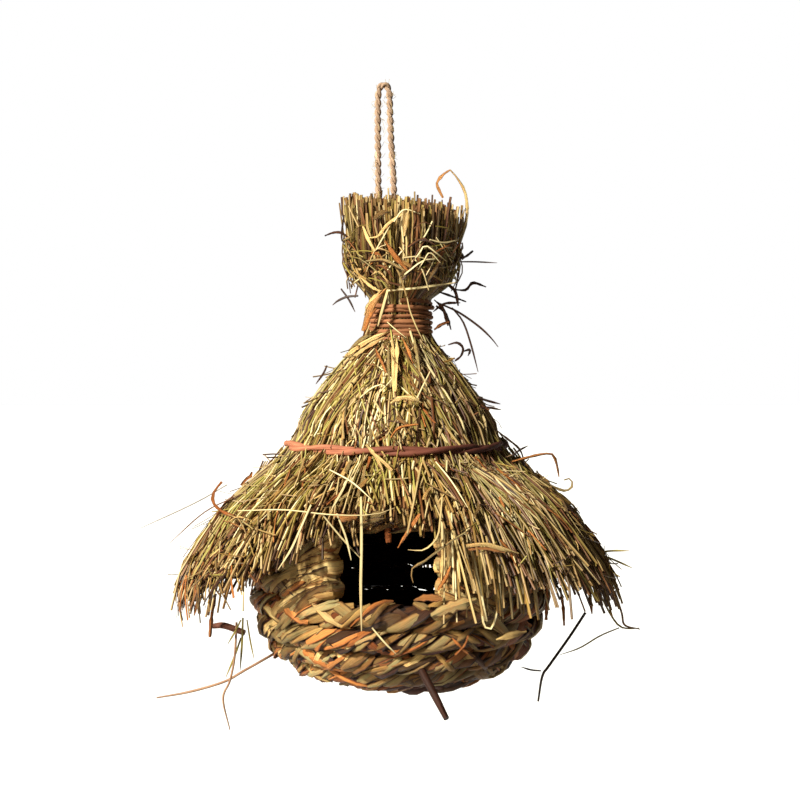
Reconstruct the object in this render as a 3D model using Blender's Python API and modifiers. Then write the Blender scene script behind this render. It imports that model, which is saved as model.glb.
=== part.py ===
"""Hanging bird nest: a ball of leaf rope under a thatched straw roof, with a cord loop on top.

The origin is the inner top of the hanging loop. The nest's own upright axis stands a little to
the right of it, because the loop leans. The entrance faces -Y.
"""

import math

import bmesh
import bpy
from mathutils import Vector

MM = 0.001
GAP = 0.3 * MM                 # clearance between pieces that touch
FRONT = -math.pi / 2           # direction of the entrance, as an angle round the axis
AXIS_X = 8.0 * MM              # the nest's upright axis, right of the hanging loop

# woven ball
BALL_Z = -243.0 * MM           # height of the widest place
BALL_R = 73.0 * MM             # outside, at the widest place
BALL_LOWER = 54.0 * MM         # widest place to the flat base
BALL_UPPER = 62.0 * MM         # widest place to the crown
LOWER_POWER = 2.7              # how square the lower half is
UPPER_POWER = 2.3
ROW_PITCH = 11.8 * MM
ROPE_R = (ROW_PITCH - GAP) / 2 - 0.02 * MM
RING_SIDES = 20
CROWN_R = 8.0 * MM             # no full row is tighter than this
BASE_R = 12.0 * MM

# entrance, in the front of the ball
SILL_Z = -247.3 * MM
CUT_ROWS = 3                   # rows that stop at the entrance
ENTRANCE_LEFT = -28.7 * MM     # from the axis
ENTRANCE_RIGHT = 18.5 * MM
JAMB_R = 4.6 * MM
JAMB_END_GAP = 1.4 * MM        # to the rows above and below
JAMB_SIDE_GAP = 2.0 * MM       # to the ends of the cut rows

# straw brush and neck
TUFT_TOP_Z = -56.0 * MM
TUFT_TILT = 0.11               # drop of the cut top for each unit to the right
NECK_R = 14.2 * MM
NECK_TOP_Z = -104.5 * MM
NECK_END_Z = -139.0 * MM
TUFT_PROFILE = [               # outside, from the top down: radius, height
    (31.0 * MM, -48.0 * MM),
    (30.0 * MM, -62.0 * MM),
    (28.0 * MM, -78.0 * MM),
    (24.0 * MM, -92.0 * MM),
    (18.0 * MM, -101.0 * MM),
    (NECK_R, NECK_TOP_Z),
    (NECK_R, NECK_END_Z),
]

# binding round the neck
BINDING_TURNS = 7
BINDING_WIRE_R = 1.2 * MM
BINDING_PITCH = 2 * BINDING_WIRE_R + GAP
BINDING_R = NECK_R + 2.2 * MM
BINDING_POINTS = 10            # for each turn

# thatched roof
BUNDLES = 12
FRONT_BUNDLE = (math.radians(-23.0), math.radians(16.0))
ROOF_OUTSIDE = [               # radius, height
    (22.5 * MM, -126.5 * MM),
    (44.0 * MM, -155.0 * MM),
    (50.0 * MM, -172.0 * MM),
    (50.0 * MM, -182.0 * MM),
    (66.0 * MM, -191.0 * MM),
    (84.0 * MM, -206.0 * MM),
    (106.0 * MM, -235.0 * MM),
    (108.0 * MM, -257.0 * MM),
]
ROOF_THICKNESS = 8.0 * MM
EAVE_Z = -257.0 * MM
SIDE_EAVE_Z = -244.0 * MM      # the two bundles beside the entrance
FRONT_EAVE_Z = -207.0 * MM     # the bundle over the entrance

# vine hoop round the roof
HOOP_Z = -177.0 * MM
HOOP_R = 53.5 * MM
HOOP_STRAND_R = 1.15 * MM
HOOP_TWISTS = 4
HOOP_POINTS = 48

# hanging loop of cord
CORD_R = 1.6 * MM
CORD_SPAN_POINTS = 3
CORD_ROUTE = [                 # left end, over the top, right end; x and z
    (-2.7, -80.0), (-2.7, -68.0), (-2.7, -56.0), (-2.8, -47.0), (-2.9, -38.0), (-3.0, -26.0),
    (-3.0, -14.0), (-2.9, -6.0), (-2.5, -1.5), (-1.4, 0.9), (0.0, 1.6), (1.4, 0.9),
    (2.5, -1.5), (2.9, -6.0), (3.1, -14.0), (3.6, -26.0), (4.3, -38.0), (4.8, -47.0),
    (5.0, -56.0), (5.0, -68.0), (5.0, -80.0),
]

# sticks and loose straws: points measured from the axis, in millimetres, and radius
PERCH_R = 1.8 * MM
PERCH_ROUTE = [(4.0, -50.0, -268.5), (9.0, -61.0, -277.5), (15.0, -70.0, -287.5), (21.5, -78.0, -299.0)]
PEG_R = 1.6 * MM
PEG_LENGTH = 5.5 * MM
PEG_X = -5.6 * MM
LOOSE = {
    "eave_stick": (1.6, [(-92.0, -20.0, -265.5), (-86.0, -22.0, -265.0), (-76.0, -25.0, -268.0)]),
    "eave_twig": (
        0.7,
        [(92.0, -12.0, -260.0), (84.0, -13.0, -272.0), (74.0, -14.0, -286.0), (70.5, -14.0, -291.5),
         (68.5, -14.0, -304.0)],
    ),
    "stray_wisp_left": (0.5, [(-86.0, -6.0, -197.0), (-102.0, -8.0, -206.0), (-129.0, -8.0, -218.5)]),
    "stray_stem_left": (
        0.7,
        [(-66.0, -14.0, -282.0), (-78.0, -15.0, -289.0), (-87.0, -15.0, -294.0), (-104.0, -15.0, -299.0),
         (-120.5, -15.0, -302.0)],
    ),
    "hanging_stem_left": (
        0.6,
        [(-79.5, -30.0, -262.0), (-80.5, -30.0, -279.0), (-83.0, -29.0, -291.0), (-86.5, -27.0, -300.0),
         (-83.5, -24.0, -316.0)],
    ),
    "stray_stem_right": (
        0.6,
        [(113.5, -6.0, -252.0), (110.5, -7.0, -261.0), (112.0, -8.0, -267.0), (119.5, -8.0, -269.0)],
    ),
}

# colour and roughness of each material
FINISHES = {
    "jute": ((0.45, 0.29, 0.16), 0.95),
    "straw": ((0.42, 0.38, 0.14), 0.75),
    "thatch": ((0.48, 0.42, 0.17), 0.75),
    "vine": ((0.26, 0.12, 0.07), 0.7),
    "leaf_rope": ((0.46, 0.40, 0.19), 0.7),
    "bark": ((0.20, 0.07, 0.05), 0.65),
    "dry_stem": ((0.40, 0.27, 0.15), 0.75),
}


def clear_scene():
    for old in list(bpy.data.objects):
        bpy.data.objects.remove(old, do_unlink=True)


def make_collection(name):
    collection = bpy.data.collections.new(name)
    bpy.context.scene.collection.children.link(collection)
    return collection


def make_material(name, finish):
    colour, roughness = FINISHES[finish]
    material = bpy.data.materials.new(name)
    material.use_nodes = True
    shader = material.node_tree.nodes["Principled BSDF"]
    shader.inputs["Base Color"].default_value = (*colour, 1.0)
    shader.inputs["Roughness"].default_value = roughness
    shader.inputs["Metallic"].default_value = 0.0
    return material


def add_part(name, data, finish, parent=None):
    part = bpy.data.objects.new(name, data)
    data.materials.append(make_material(name, finish))
    parts.objects.link(part)
    part.parent = parent
    return part


def add_cutter(name, mesh, location, parent=None, tilt_y=0.0):
    cutter = bpy.data.objects.new(name, mesh)
    cutters.objects.link(cutter)
    cutter.parent = parent
    cutter.location = location
    cutter.rotation_euler.y = tilt_y
    cutter.hide_render = True
    cutter.display_type = "WIRE"
    return cutter


def cut(part, cutter):
    modifier = part.modifiers.new("cut", "BOOLEAN")
    modifier.operation = "DIFFERENCE"
    modifier.solver = "EXACT"
    modifier.object = cutter


def tube_data(name, points, radius, resolution=1, cyclic=False, widths=None):
    """A curve of one poly spline with filled caps; widths scale the radius at each point."""
    curve = bpy.data.curves.new(name, "CURVE")
    curve.dimensions = "3D"
    curve.bevel_depth = radius
    curve.bevel_resolution = resolution
    curve.use_fill_caps = not cyclic
    spline = curve.splines.new("POLY")
    spline.points.add(len(points) - 1)
    spline.use_cyclic_u = cyclic
    spline.use_smooth = True
    for index, point in enumerate(points):
        spline.points[index].co = (*point, 1.0)
        if widths:
            spline.points[index].radius = widths[index]
    return curve


def curve_to_mesh(part):
    """Turn a curve part into a mesh part with welded caps, so that it can be cut."""
    evaluated = part.evaluated_get(bpy.context.evaluated_depsgraph_get())
    mesh = bpy.data.meshes.new_from_object(evaluated)
    shape = bmesh.new()
    shape.from_mesh(mesh)
    bmesh.ops.remove_doubles(shape, verts=shape.verts, dist=0.01 * MM)
    shape.to_mesh(mesh)
    shape.free()
    name = part.name
    matrix = part.matrix_world.copy()
    bpy.data.objects.remove(part, do_unlink=True)
    solid = bpy.data.objects.new(name, mesh)
    parts.objects.link(solid)
    solid.matrix_world = matrix
    return solid


def turned_data(name, outline):
    """An outline of radius and height, in the XZ plane, for a Screw modifier."""
    mesh = bpy.data.meshes.new(name)
    edges = [(index, index + 1) for index in range(len(outline) - 1)]
    mesh.from_pydata([(radius, 0.0, height) for radius, height in outline], edges, [])
    return mesh


def turn(part, steps):
    screw = part.modifiers.new("turn", "SCREW")
    screw.steps = steps
    screw.render_steps = steps
    screw.use_merge_vertices = True
    screw.merge_threshold = 0.00005
    screw.use_smooth_shade = True


def smooth_route(route, count):
    """Points of a smooth curve through the route, with the given number in each span."""
    points = []
    last = len(route) - 1
    for index in range(last):
        before = Vector(route[max(index - 1, 0)])
        start = Vector(route[index])
        end = Vector(route[index + 1])
        after = Vector(route[min(index + 2, last)])
        for step in range(count):
            t = step / count
            points.append(
                0.5
                * (
                    2 * start
                    + (end - before) * t
                    + (2 * before - 5 * start + 4 * end - after) * t**2
                    + (3 * start - before - 3 * end + after) * t**3
                )
            )
    points.append(Vector(route[last]))
    return points


def ring_point(radius, angle, height):
    """A point at an angle on the many-sided ring whose corners lie at the radius."""
    step = 2 * math.pi / RING_SIDES
    middle = (math.floor(angle / step) + 0.5) * step
    distance = radius * math.cos(step / 2) / math.cos(angle - middle)
    return Vector((distance * math.cos(angle), distance * math.sin(angle), height))


def wall_point(turn_angle):
    """Radius and height on the middle line of the wall; 0 is the widest place, + is up."""
    across = BALL_R - ROPE_R
    lower = turn_angle < 0
    tall = (BALL_LOWER if lower else BALL_UPPER) - ROPE_R
    power = 2.0 / (LOWER_POWER if lower else UPPER_POWER)
    height = math.copysign(abs(math.sin(turn_angle)) ** power, turn_angle) * tall
    return across * math.cos(turn_angle) ** power, BALL_Z + height


def march_rows(start, direction, limit_radius):
    """Middle radius and height of each row, a pitch apart along the wall, from a start angle."""
    rows = [wall_point(start)]
    angle = start
    step = direction * 0.0005
    while abs(angle + step) < math.pi / 2:
        angle += step
        here = wall_point(angle)
        if math.dist(here, rows[-1]) >= ROW_PITCH:
            if here[0] < limit_radius:
                break
            rows.append(here)
    return rows


def find_wall_angle(height):
    low, high = -1.5, 1.5
    while high - low > 1e-6:
        middle = (low + high) / 2
        if wall_point(middle)[1] < height:
            low = middle
        else:
            high = middle
    return low


def build_cord():
    points = smooth_route([(x * MM, 0.0, z * MM) for x, z in CORD_ROUTE], CORD_SPAN_POINTS)
    add_part("hanging_cord", tube_data("hanging_cord", points, CORD_R, 2), "jute")


def build_tuft(axis):
    outline = [(0.0, TUFT_PROFILE[0][1])] + TUFT_PROFILE + [(0.0, NECK_END_Z)]
    tuft = add_part("straw_tuft", turned_data("straw_tuft", outline), "straw", axis)
    turn(tuft, 20)
    slab = bpy.data.meshes.new("top_cutter")
    shape = bmesh.new()
    bmesh.ops.create_cube(shape, size=100 * MM)
    shape.to_mesh(slab)
    shape.free()
    middle = Vector((0.0, 0.0, TUFT_TOP_Z)) + 50 * MM * Vector((TUFT_TILT, 0.0, 1.0)).normalized()
    cut(tuft, add_cutter("top_cutter", slab, middle, axis, math.atan(TUFT_TILT)))
    for side, index in (("left", 0), ("right", -1)):
        hole = bpy.data.meshes.new("cord_hole_" + side)
        shape = bmesh.new()
        depth = 60 * MM
        bmesh.ops.create_cone(
            shape, cap_ends=True, segments=10, radius1=2.1 * MM, radius2=2.1 * MM, depth=depth
        )
        shape.to_mesh(hole)
        shape.free()
        x, z = CORD_ROUTE[index]
        bottom = z * MM - GAP
        cut(tuft, add_cutter("cord_hole_" + side, hole, (x * MM, 0.0, bottom + depth / 2)))


def build_binding(axis):
    count = BINDING_TURNS * BINDING_POINTS
    top = NECK_TOP_Z - BINDING_WIRE_R - GAP
    points = []
    for index in range(count + 1):
        turns = index / BINDING_POINTS
        angle = FRONT + turns * 2 * math.pi
        points.append((BINDING_R * math.cos(angle), BINDING_R * math.sin(angle), top - turns * BINDING_PITCH))
    add_part("neck_binding", tube_data("neck_binding", points, BINDING_WIRE_R), "vine", axis)


def roof_section(eave_z):
    """Closed section of the roof: down its outside to the eave and back up its inside."""
    outside = [ROOF_OUTSIDE[0]]
    for above, below in zip(ROOF_OUTSIDE, ROOF_OUTSIDE[1:]):
        if below[1] <= eave_z:
            share = (above[1] - eave_z) / (above[1] - below[1])
            outside.append((above[0] + share * (below[0] - above[0]), eave_z))
            break
        outside.append(below)
    inside = []
    for (above_r, above_z), (below_r, below_z) in zip(outside, outside[1:]):
        slope = Vector((above_z - below_z, below_r - above_r)).normalized()
        inside.append((below_r - slope.x * ROOF_THICKNESS, below_z - slope.y * ROOF_THICKNESS))
    inside[-1] = (inside[-1][0], eave_z)
    inside = [point for point in inside if point[1] >= eave_z]
    top = [(NECK_R + 0.7 * MM, ROOF_OUTSIDE[0][1]), (NECK_R + 0.7 * MM, NECK_END_Z)]
    return outside + list(reversed(inside)) + list(reversed(top))


def build_bundle(name, start, end, eave_z, axis):
    """One bundle of roof straw between two angles round the axis, measured from the front."""
    section = roof_section(eave_z)
    steps = 3 if end - start > math.radians(32.0) else 2
    shape = bmesh.new()
    columns = []
    for step in range(steps + 1):
        column = []
        for radius, height in section:
            margin = math.asin(0.5 * GAP / radius) * 1.1
            angle = FRONT + start + margin + (end - start - 2 * margin) * step / steps
            column.append(shape.verts.new((radius * math.cos(angle), radius * math.sin(angle), height)))
        columns.append(column)
    size = len(section)
    for left, right in zip(columns, columns[1:]):
        for index in range(size):
            following = (index + 1) % size
            shape.faces.new((left[index], left[following], right[following], right[index]))
    shape.faces.new(columns[0])
    shape.faces.new(list(reversed(columns[-1])))
    bmesh.ops.recalc_face_normals(shape, faces=shape.faces)
    bmesh.ops.triangulate(shape, faces=shape.faces)
    mesh = bpy.data.meshes.new(name)
    shape.to_mesh(mesh)
    shape.free()
    add_part(name, mesh, "thatch", axis)


def build_roof(axis):
    start, end = FRONT_BUNDLE
    build_bundle("thatch_bundle_01", start, end, FRONT_EAVE_Z, axis)
    width = (2 * math.pi - (end - start)) / (BUNDLES - 1)
    for index in range(BUNDLES - 1):
        beside = index in (0, BUNDLES - 2)
        build_bundle(
            f"thatch_bundle_{index + 2:02d}",
            end + index * width,
            end + (index + 1) * width,
            SIDE_EAVE_Z if beside else EAVE_Z,
            axis,
        )


def build_hoop(axis):
    offset = HOOP_STRAND_R + GAP / 2
    for letter, phase in (("a", 0.0), ("b", math.pi)):
        points = []
        for index in range(HOOP_POINTS):
            angle = 2 * math.pi * index / HOOP_POINTS
            twist = HOOP_TWISTS * angle + phase
            radius = HOOP_R + offset * math.cos(twist)
            points.append((radius * math.cos(angle), radius * math.sin(angle), HOOP_Z + offset * math.sin(twist)))
        name = "roof_hoop_strand_" + letter
        add_part(name, tube_data(name, points, HOOP_STRAND_R, cyclic=True), "vine", axis)


def full_ring(radius, height):
    step = 2 * math.pi / RING_SIDES
    return [ring_point(radius, step * index, height) for index in range(RING_SIDES)]


def open_ring(radius, height, start, end):
    """Points round the ring from the start angle to the end angle, with every corner between."""
    step = 2 * math.pi / RING_SIDES
    first = math.floor(start / step) + 1
    last = math.ceil(end / step) - 1
    corners = [ring_point(radius, step * index, height) for index in range(first, last + 1)]
    return [ring_point(radius, start, height)] + corners + [ring_point(radius, end, height)]


def build_ball(axis):
    """Rows from the base up. Returns the middle radius and height of every row."""
    first_cut = find_wall_angle(SILL_Z + ROW_PITCH / 2)
    upper = march_rows(first_cut, 1, CROWN_R)
    lower = march_rows(first_cut, -1, BASE_R)[1:]
    rows = list(reversed(lower)) + upper
    cut_rows = range(len(lower), len(lower) + CUT_ROWS)
    for index, (radius, height) in enumerate(rows):
        name = f"woven_row_{index + 1:02d}"
        if index in cut_rows:
            reach = JAMB_R + JAMB_SIDE_GAP
            start = FRONT + math.asin((ENTRANCE_RIGHT + JAMB_R) / radius) + reach / radius
            end = FRONT + 2 * math.pi + math.asin((ENTRANCE_LEFT - JAMB_R) / radius) - reach / radius
            points = open_ring(radius, height, start, end)
            add_part(name, tube_data(name, points, ROPE_R), "leaf_rope", axis)
        else:
            points = full_ring(radius, height)
            add_part(name, tube_data(name, points, ROPE_R, cyclic=True), "leaf_rope", axis)
    build_ends(axis, rows)
    build_jambs(axis, rows, cut_rows)
    build_peg(axis, rows[cut_rows.stop])
    return rows


def disc_outline(radius, middle, half):
    """Outline of a thick disc with a chamfered edge, from its top centre to its bottom centre."""
    bevel = half * 0.5
    return [
        (0.0, middle + half),
        (radius - bevel, middle + half),
        (radius, middle + half - bevel),
        (radius, middle - half + bevel),
        (radius - bevel, middle - half),
        (0.0, middle - half),
    ]


def build_ends(axis, rows):
    flat = math.cos(math.pi / RING_SIDES)
    for name, (radius, height) in (("woven_base", rows[0]), ("dome_crown", rows[-1])):
        room = radius * flat - ROPE_R - GAP
        disc = add_part(name, turned_data(name, disc_outline(room, height, ROPE_R * 0.8)), "leaf_rope", axis)
        turn(disc, 16)


def build_jambs(axis, rows, cut_rows):
    """A wrap of folded leaves on each side of the entrance, from the sill row to the rim row."""
    sill_radius, sill_height = rows[cut_rows.start - 1]
    rim_radius, rim_height = rows[cut_rows.stop]
    heights = [rows[index] for index in cut_rows]
    foot = (sill_radius, sill_height + ROPE_R + JAMB_END_GAP)
    head = (rim_radius, rim_height - ROPE_R - JAMB_END_GAP)
    for side, edge in (("left", ENTRANCE_LEFT - JAMB_R), ("right", ENTRANCE_RIGHT + JAMB_R)):
        points = []
        for radius, height in [foot] + heights + [head]:
            depth = -math.sqrt(radius**2 - edge**2)
            points.append((edge, depth * math.cos(math.pi / RING_SIDES), height))
        widths = [0.35, 1.0, 1.0, 0.9, 0.3]
        name = "jamb_wrap_" + side
        add_part(name, tube_data(name, points, JAMB_R, 2, widths=widths), "leaf_rope", axis)


def build_peg(axis, rim_row):
    radius, height = rim_row
    top = height - ROPE_R - GAP
    points = [(PEG_X, -radius, top), (PEG_X, -radius, top - PEG_LENGTH)]
    add_part("rim_peg", tube_data("rim_peg", points, PEG_R), "bark", axis)


def build_perch(axis, rows):
    """The perch, and the holes for it in the rows that it passes through."""
    route = [tuple(value * MM for value in point) for point in PERCH_ROUTE]
    points = smooth_route(route, 2)
    widths = [1.0 - 0.25 * index / (len(points) - 1) for index in range(len(points))]
    add_part("perch_stick", tube_data("perch_stick", points, PERCH_R, widths=widths), "bark", axis)
    clearance = tube_data("perch_cutter", points, PERCH_R + GAP, 1)
    guide = bpy.data.objects.new("perch_cutter_curve", clearance)
    parts.objects.link(guide)
    guide.parent = axis
    bpy.context.view_layer.update()
    cutter = curve_to_mesh(guide)
    parts.objects.unlink(cutter)
    cutters.objects.link(cutter)
    cutter.hide_render = True
    cutter.display_type = "WIRE"
    low = min(point.z for point in points) - ROPE_R
    high = max(point.z for point in points) + ROPE_R
    for index, (radius, height) in enumerate(rows):
        if not low < height < high:
            continue
        name = f"woven_row_{index + 1:02d}"
        row = curve_to_mesh(bpy.data.objects[name])
        cut(row, cutter)


def build_loose(axis):
    for name, (radius, route) in LOOSE.items():
        points = smooth_route([tuple(value * MM for value in point) for point in route], 2)
        finish = "bark" if name in ("eave_stick", "eave_twig") else "dry_stem"
        add_part(name, tube_data(name, points, radius * MM), finish, axis)


def build_nest():
    axis = bpy.data.objects.new("nest_axis", None)
    axis.location.x = AXIS_X
    parts.objects.link(axis)
    bpy.context.view_layer.update()
    build_cord()
    build_tuft(axis)
    build_binding(axis)
    build_roof(axis)
    build_hoop(axis)
    rows = build_ball(axis)
    bpy.context.view_layer.update()
    build_perch(axis, rows)
    build_loose(axis)


clear_scene()
parts = make_collection("hanging_bird_nest")
cutters = make_collection("cutters")
build_nest()
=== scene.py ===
"""Finish of a hanging bird nest: straw roof and brush, leaf-rope ball, cord, vines and sticks.

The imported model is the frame: every piece is placed from its nodes, and stands for some of them.
"""

import math

import bpy
import numpy as np
from bpy.props import FloatProperty, FloatVectorProperty, IntProperty, PointerProperty
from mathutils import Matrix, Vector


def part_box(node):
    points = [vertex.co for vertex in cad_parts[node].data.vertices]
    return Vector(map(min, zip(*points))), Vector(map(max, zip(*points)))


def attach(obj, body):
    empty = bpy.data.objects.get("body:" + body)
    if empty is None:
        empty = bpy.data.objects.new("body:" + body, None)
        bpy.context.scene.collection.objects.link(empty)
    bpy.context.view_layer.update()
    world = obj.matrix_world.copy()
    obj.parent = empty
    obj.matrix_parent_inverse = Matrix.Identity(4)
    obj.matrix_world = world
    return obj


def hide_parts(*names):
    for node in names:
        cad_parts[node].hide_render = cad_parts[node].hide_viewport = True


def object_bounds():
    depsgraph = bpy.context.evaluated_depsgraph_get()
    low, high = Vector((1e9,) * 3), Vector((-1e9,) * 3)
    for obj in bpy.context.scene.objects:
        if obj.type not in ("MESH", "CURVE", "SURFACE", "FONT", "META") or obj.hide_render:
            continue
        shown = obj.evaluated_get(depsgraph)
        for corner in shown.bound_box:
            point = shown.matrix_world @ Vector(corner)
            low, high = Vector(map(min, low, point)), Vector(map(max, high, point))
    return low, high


bl_info = {
    "name": "Hanging Straw Nest",
    "version": (1, 0, 0),
    "blender": (4, 5, 0),
    "location": "3D View > Sidebar > Nest",
    "description": "Builds the straw, leaf rope, cord and sticks of a hanging bird nest",
    "category": "Add Mesh",
}

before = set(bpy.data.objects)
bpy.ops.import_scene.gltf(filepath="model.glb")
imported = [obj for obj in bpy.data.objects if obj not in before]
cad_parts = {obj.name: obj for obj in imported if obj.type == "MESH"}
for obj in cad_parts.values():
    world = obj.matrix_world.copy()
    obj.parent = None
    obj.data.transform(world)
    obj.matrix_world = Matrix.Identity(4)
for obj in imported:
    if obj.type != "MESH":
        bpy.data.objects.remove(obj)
CAD_BOX = [[float(value) for value in corner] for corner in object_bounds()]
MM = 0.001
SMOOTH_ANGLE = math.radians(50.0)
GOLDEN_ANGLE = 2.399963
GOLDEN_SHARE = 0.6180339887
BLADE_THICK = 0.1 * MM


def node_box(name):
    """Lowest and highest corner of a node, as arrays, in metres."""
    low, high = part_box(name)
    return np.array(low, dtype=float), np.array(high, dtype=float)


def nodes_named(start):
    return sorted(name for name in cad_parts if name.startswith(start))


# ---------------------------------------------------------------- places read from the frame

AXIS_X = float(sum(corner[0] for corner in node_box("woven_base")) / 2)
BINDING_LOW, BINDING_HIGH = (corner[2] for corner in node_box("neck_binding"))
BINDING_R = float(node_box("neck_binding")[1][0] - AXIS_X)
TUFT_LOW, TUFT_HIGH = node_box("straw_tuft")
HOOP_LOW, HOOP_HIGH = node_box("roof_hoop_strand_a")
HOOP_Z = float(HOOP_LOW[2] + HOOP_HIGH[2]) / 2
EAVE_LOW = node_box("thatch_bundle_05")[0]
EAVE_R = float(AXIS_X - min(node_box(name)[0][0] for name in nodes_named("thatch_bundle")))
ROOF_TOP_Z = float(node_box("thatch_bundle_01")[1][2])
EAVE_Z = float(EAVE_LOW[2])


def front_angle(degrees):
    """Angle round the axis of a direction given in degrees from the front, + to the right."""
    return math.radians(degrees - 90.0)


# ---------------------------------------------------------------- sizes and colours to change


def colour_setting(name, description, default):
    return FloatVectorProperty(name=name, description=description, subtype="COLOR", size=3, default=default)


class StrawSettings(bpy.types.PropertyGroup):
    """Straw of the roof and of the brush."""

    thickness: FloatProperty(
        name="Thickness", description="Diameter of a stem", default=0.00108, unit="LENGTH", min=0.0005
    )
    roof_stems: IntProperty(name="Roof stems", description="Long stems in the roof", default=1640, min=10)
    short_stems: IntProperty(
        name="Short stems", description="Broken stems that lie over the roof", default=640, min=0
    )
    brush_stems: IntProperty(name="Brush stems", description="Stems in the brush", default=740, min=10)
    pale: colour_setting("Pale", "Sunned stem", (0.76, 0.66, 0.36))
    golden: colour_setting("Golden", "Ripe stem", (0.49, 0.33, 0.085))
    olive: colour_setting("Olive", "Green stem", (0.30, 0.27, 0.055))
    brown: colour_setting("Brown", "Weathered stem", (0.15, 0.053, 0.012))


class RopeSettings(bpy.types.PropertyGroup):
    """Leaf rope of the ball."""

    leaf_length: FloatProperty(
        name="Leaf length", description="Length of a leaf on the rope", default=0.0225, unit="LENGTH"
    )
    leaf_width: FloatProperty(
        name="Leaf width", description="Width of a leaf on the rope", default=0.0092, unit="LENGTH"
    )
    leaf_spacing: FloatProperty(
        name="Leaf spacing", description="From one leaf to the next", default=0.0042, unit="LENGTH"
    )
    khaki: colour_setting("Khaki", "Common leaf", (0.32, 0.25, 0.10))
    gold: colour_setting("Gold", "Pale leaf", (0.82, 0.57, 0.22))
    rust: colour_setting("Rust", "Orange leaf", (0.52, 0.18, 0.04))
    dark: colour_setting("Dark", "Brown leaf", (0.07, 0.030, 0.014))


class CordSettings(bpy.types.PropertyGroup):
    """Cord of the hanging loop."""

    diameter: FloatProperty(name="Diameter", description="Over both plies", default=0.0032, unit="LENGTH")
    lay: FloatProperty(name="Lay", description="Length of one full twist", default=0.0085, unit="LENGTH")
    jute: colour_setting("Jute", "Cord", (0.57, 0.39, 0.27))


class StageSettings(bpy.types.PropertyGroup):
    """Camera, light and floor."""

    distance: FloatProperty(name="Distance", description="Camera to axis", default=0.944, unit="LENGTH")
    elevation: FloatProperty(
        name="Elevation", description="Camera above level", default=math.radians(2.5), subtype="ANGLE"
    )
    lens: FloatProperty(name="Lens", description="Focal length in millimetres", default=85.0)
    key: FloatProperty(name="Key light", description="Strength of the sun", default=8.6)
    low: FloatProperty(name="Low light", description="Strength of the low light on the left", default=1.8)
    lean: FloatProperty(
        name="Key lean", description="Sun from straight above", default=math.radians(58.0), subtype="ANGLE"
    )
    turn: FloatProperty(
        name="Key turn", description="Sun left of the front", default=math.radians(46.0), subtype="ANGLE"
    )
    sky: FloatProperty(name="Sky light", description="Strength of the surroundings", default=0.13)


# ---------------------------------------------------------------- shaders


class Value:
    """A node socket that takes part in Python expressions."""

    def __init__(self, finish, socket):
        self.finish = finish
        self.socket = socket

    def calculate(self, operation, first, second=None):
        inputs = {0: first}
        if second is not None:
            inputs[1] = second
        node = self.finish.node("ShaderNodeMath", {"operation": operation}, inputs)
        return Value(self.finish, node.outputs[0])

    def __add__(self, other):
        return self.calculate("ADD", self, other)

    __radd__ = __add__

    def __mul__(self, other):
        return self.calculate("MULTIPLY", self, other)

    __rmul__ = __mul__

    def __pow__(self, other):
        return self.calculate("POWER", self, other)


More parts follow.
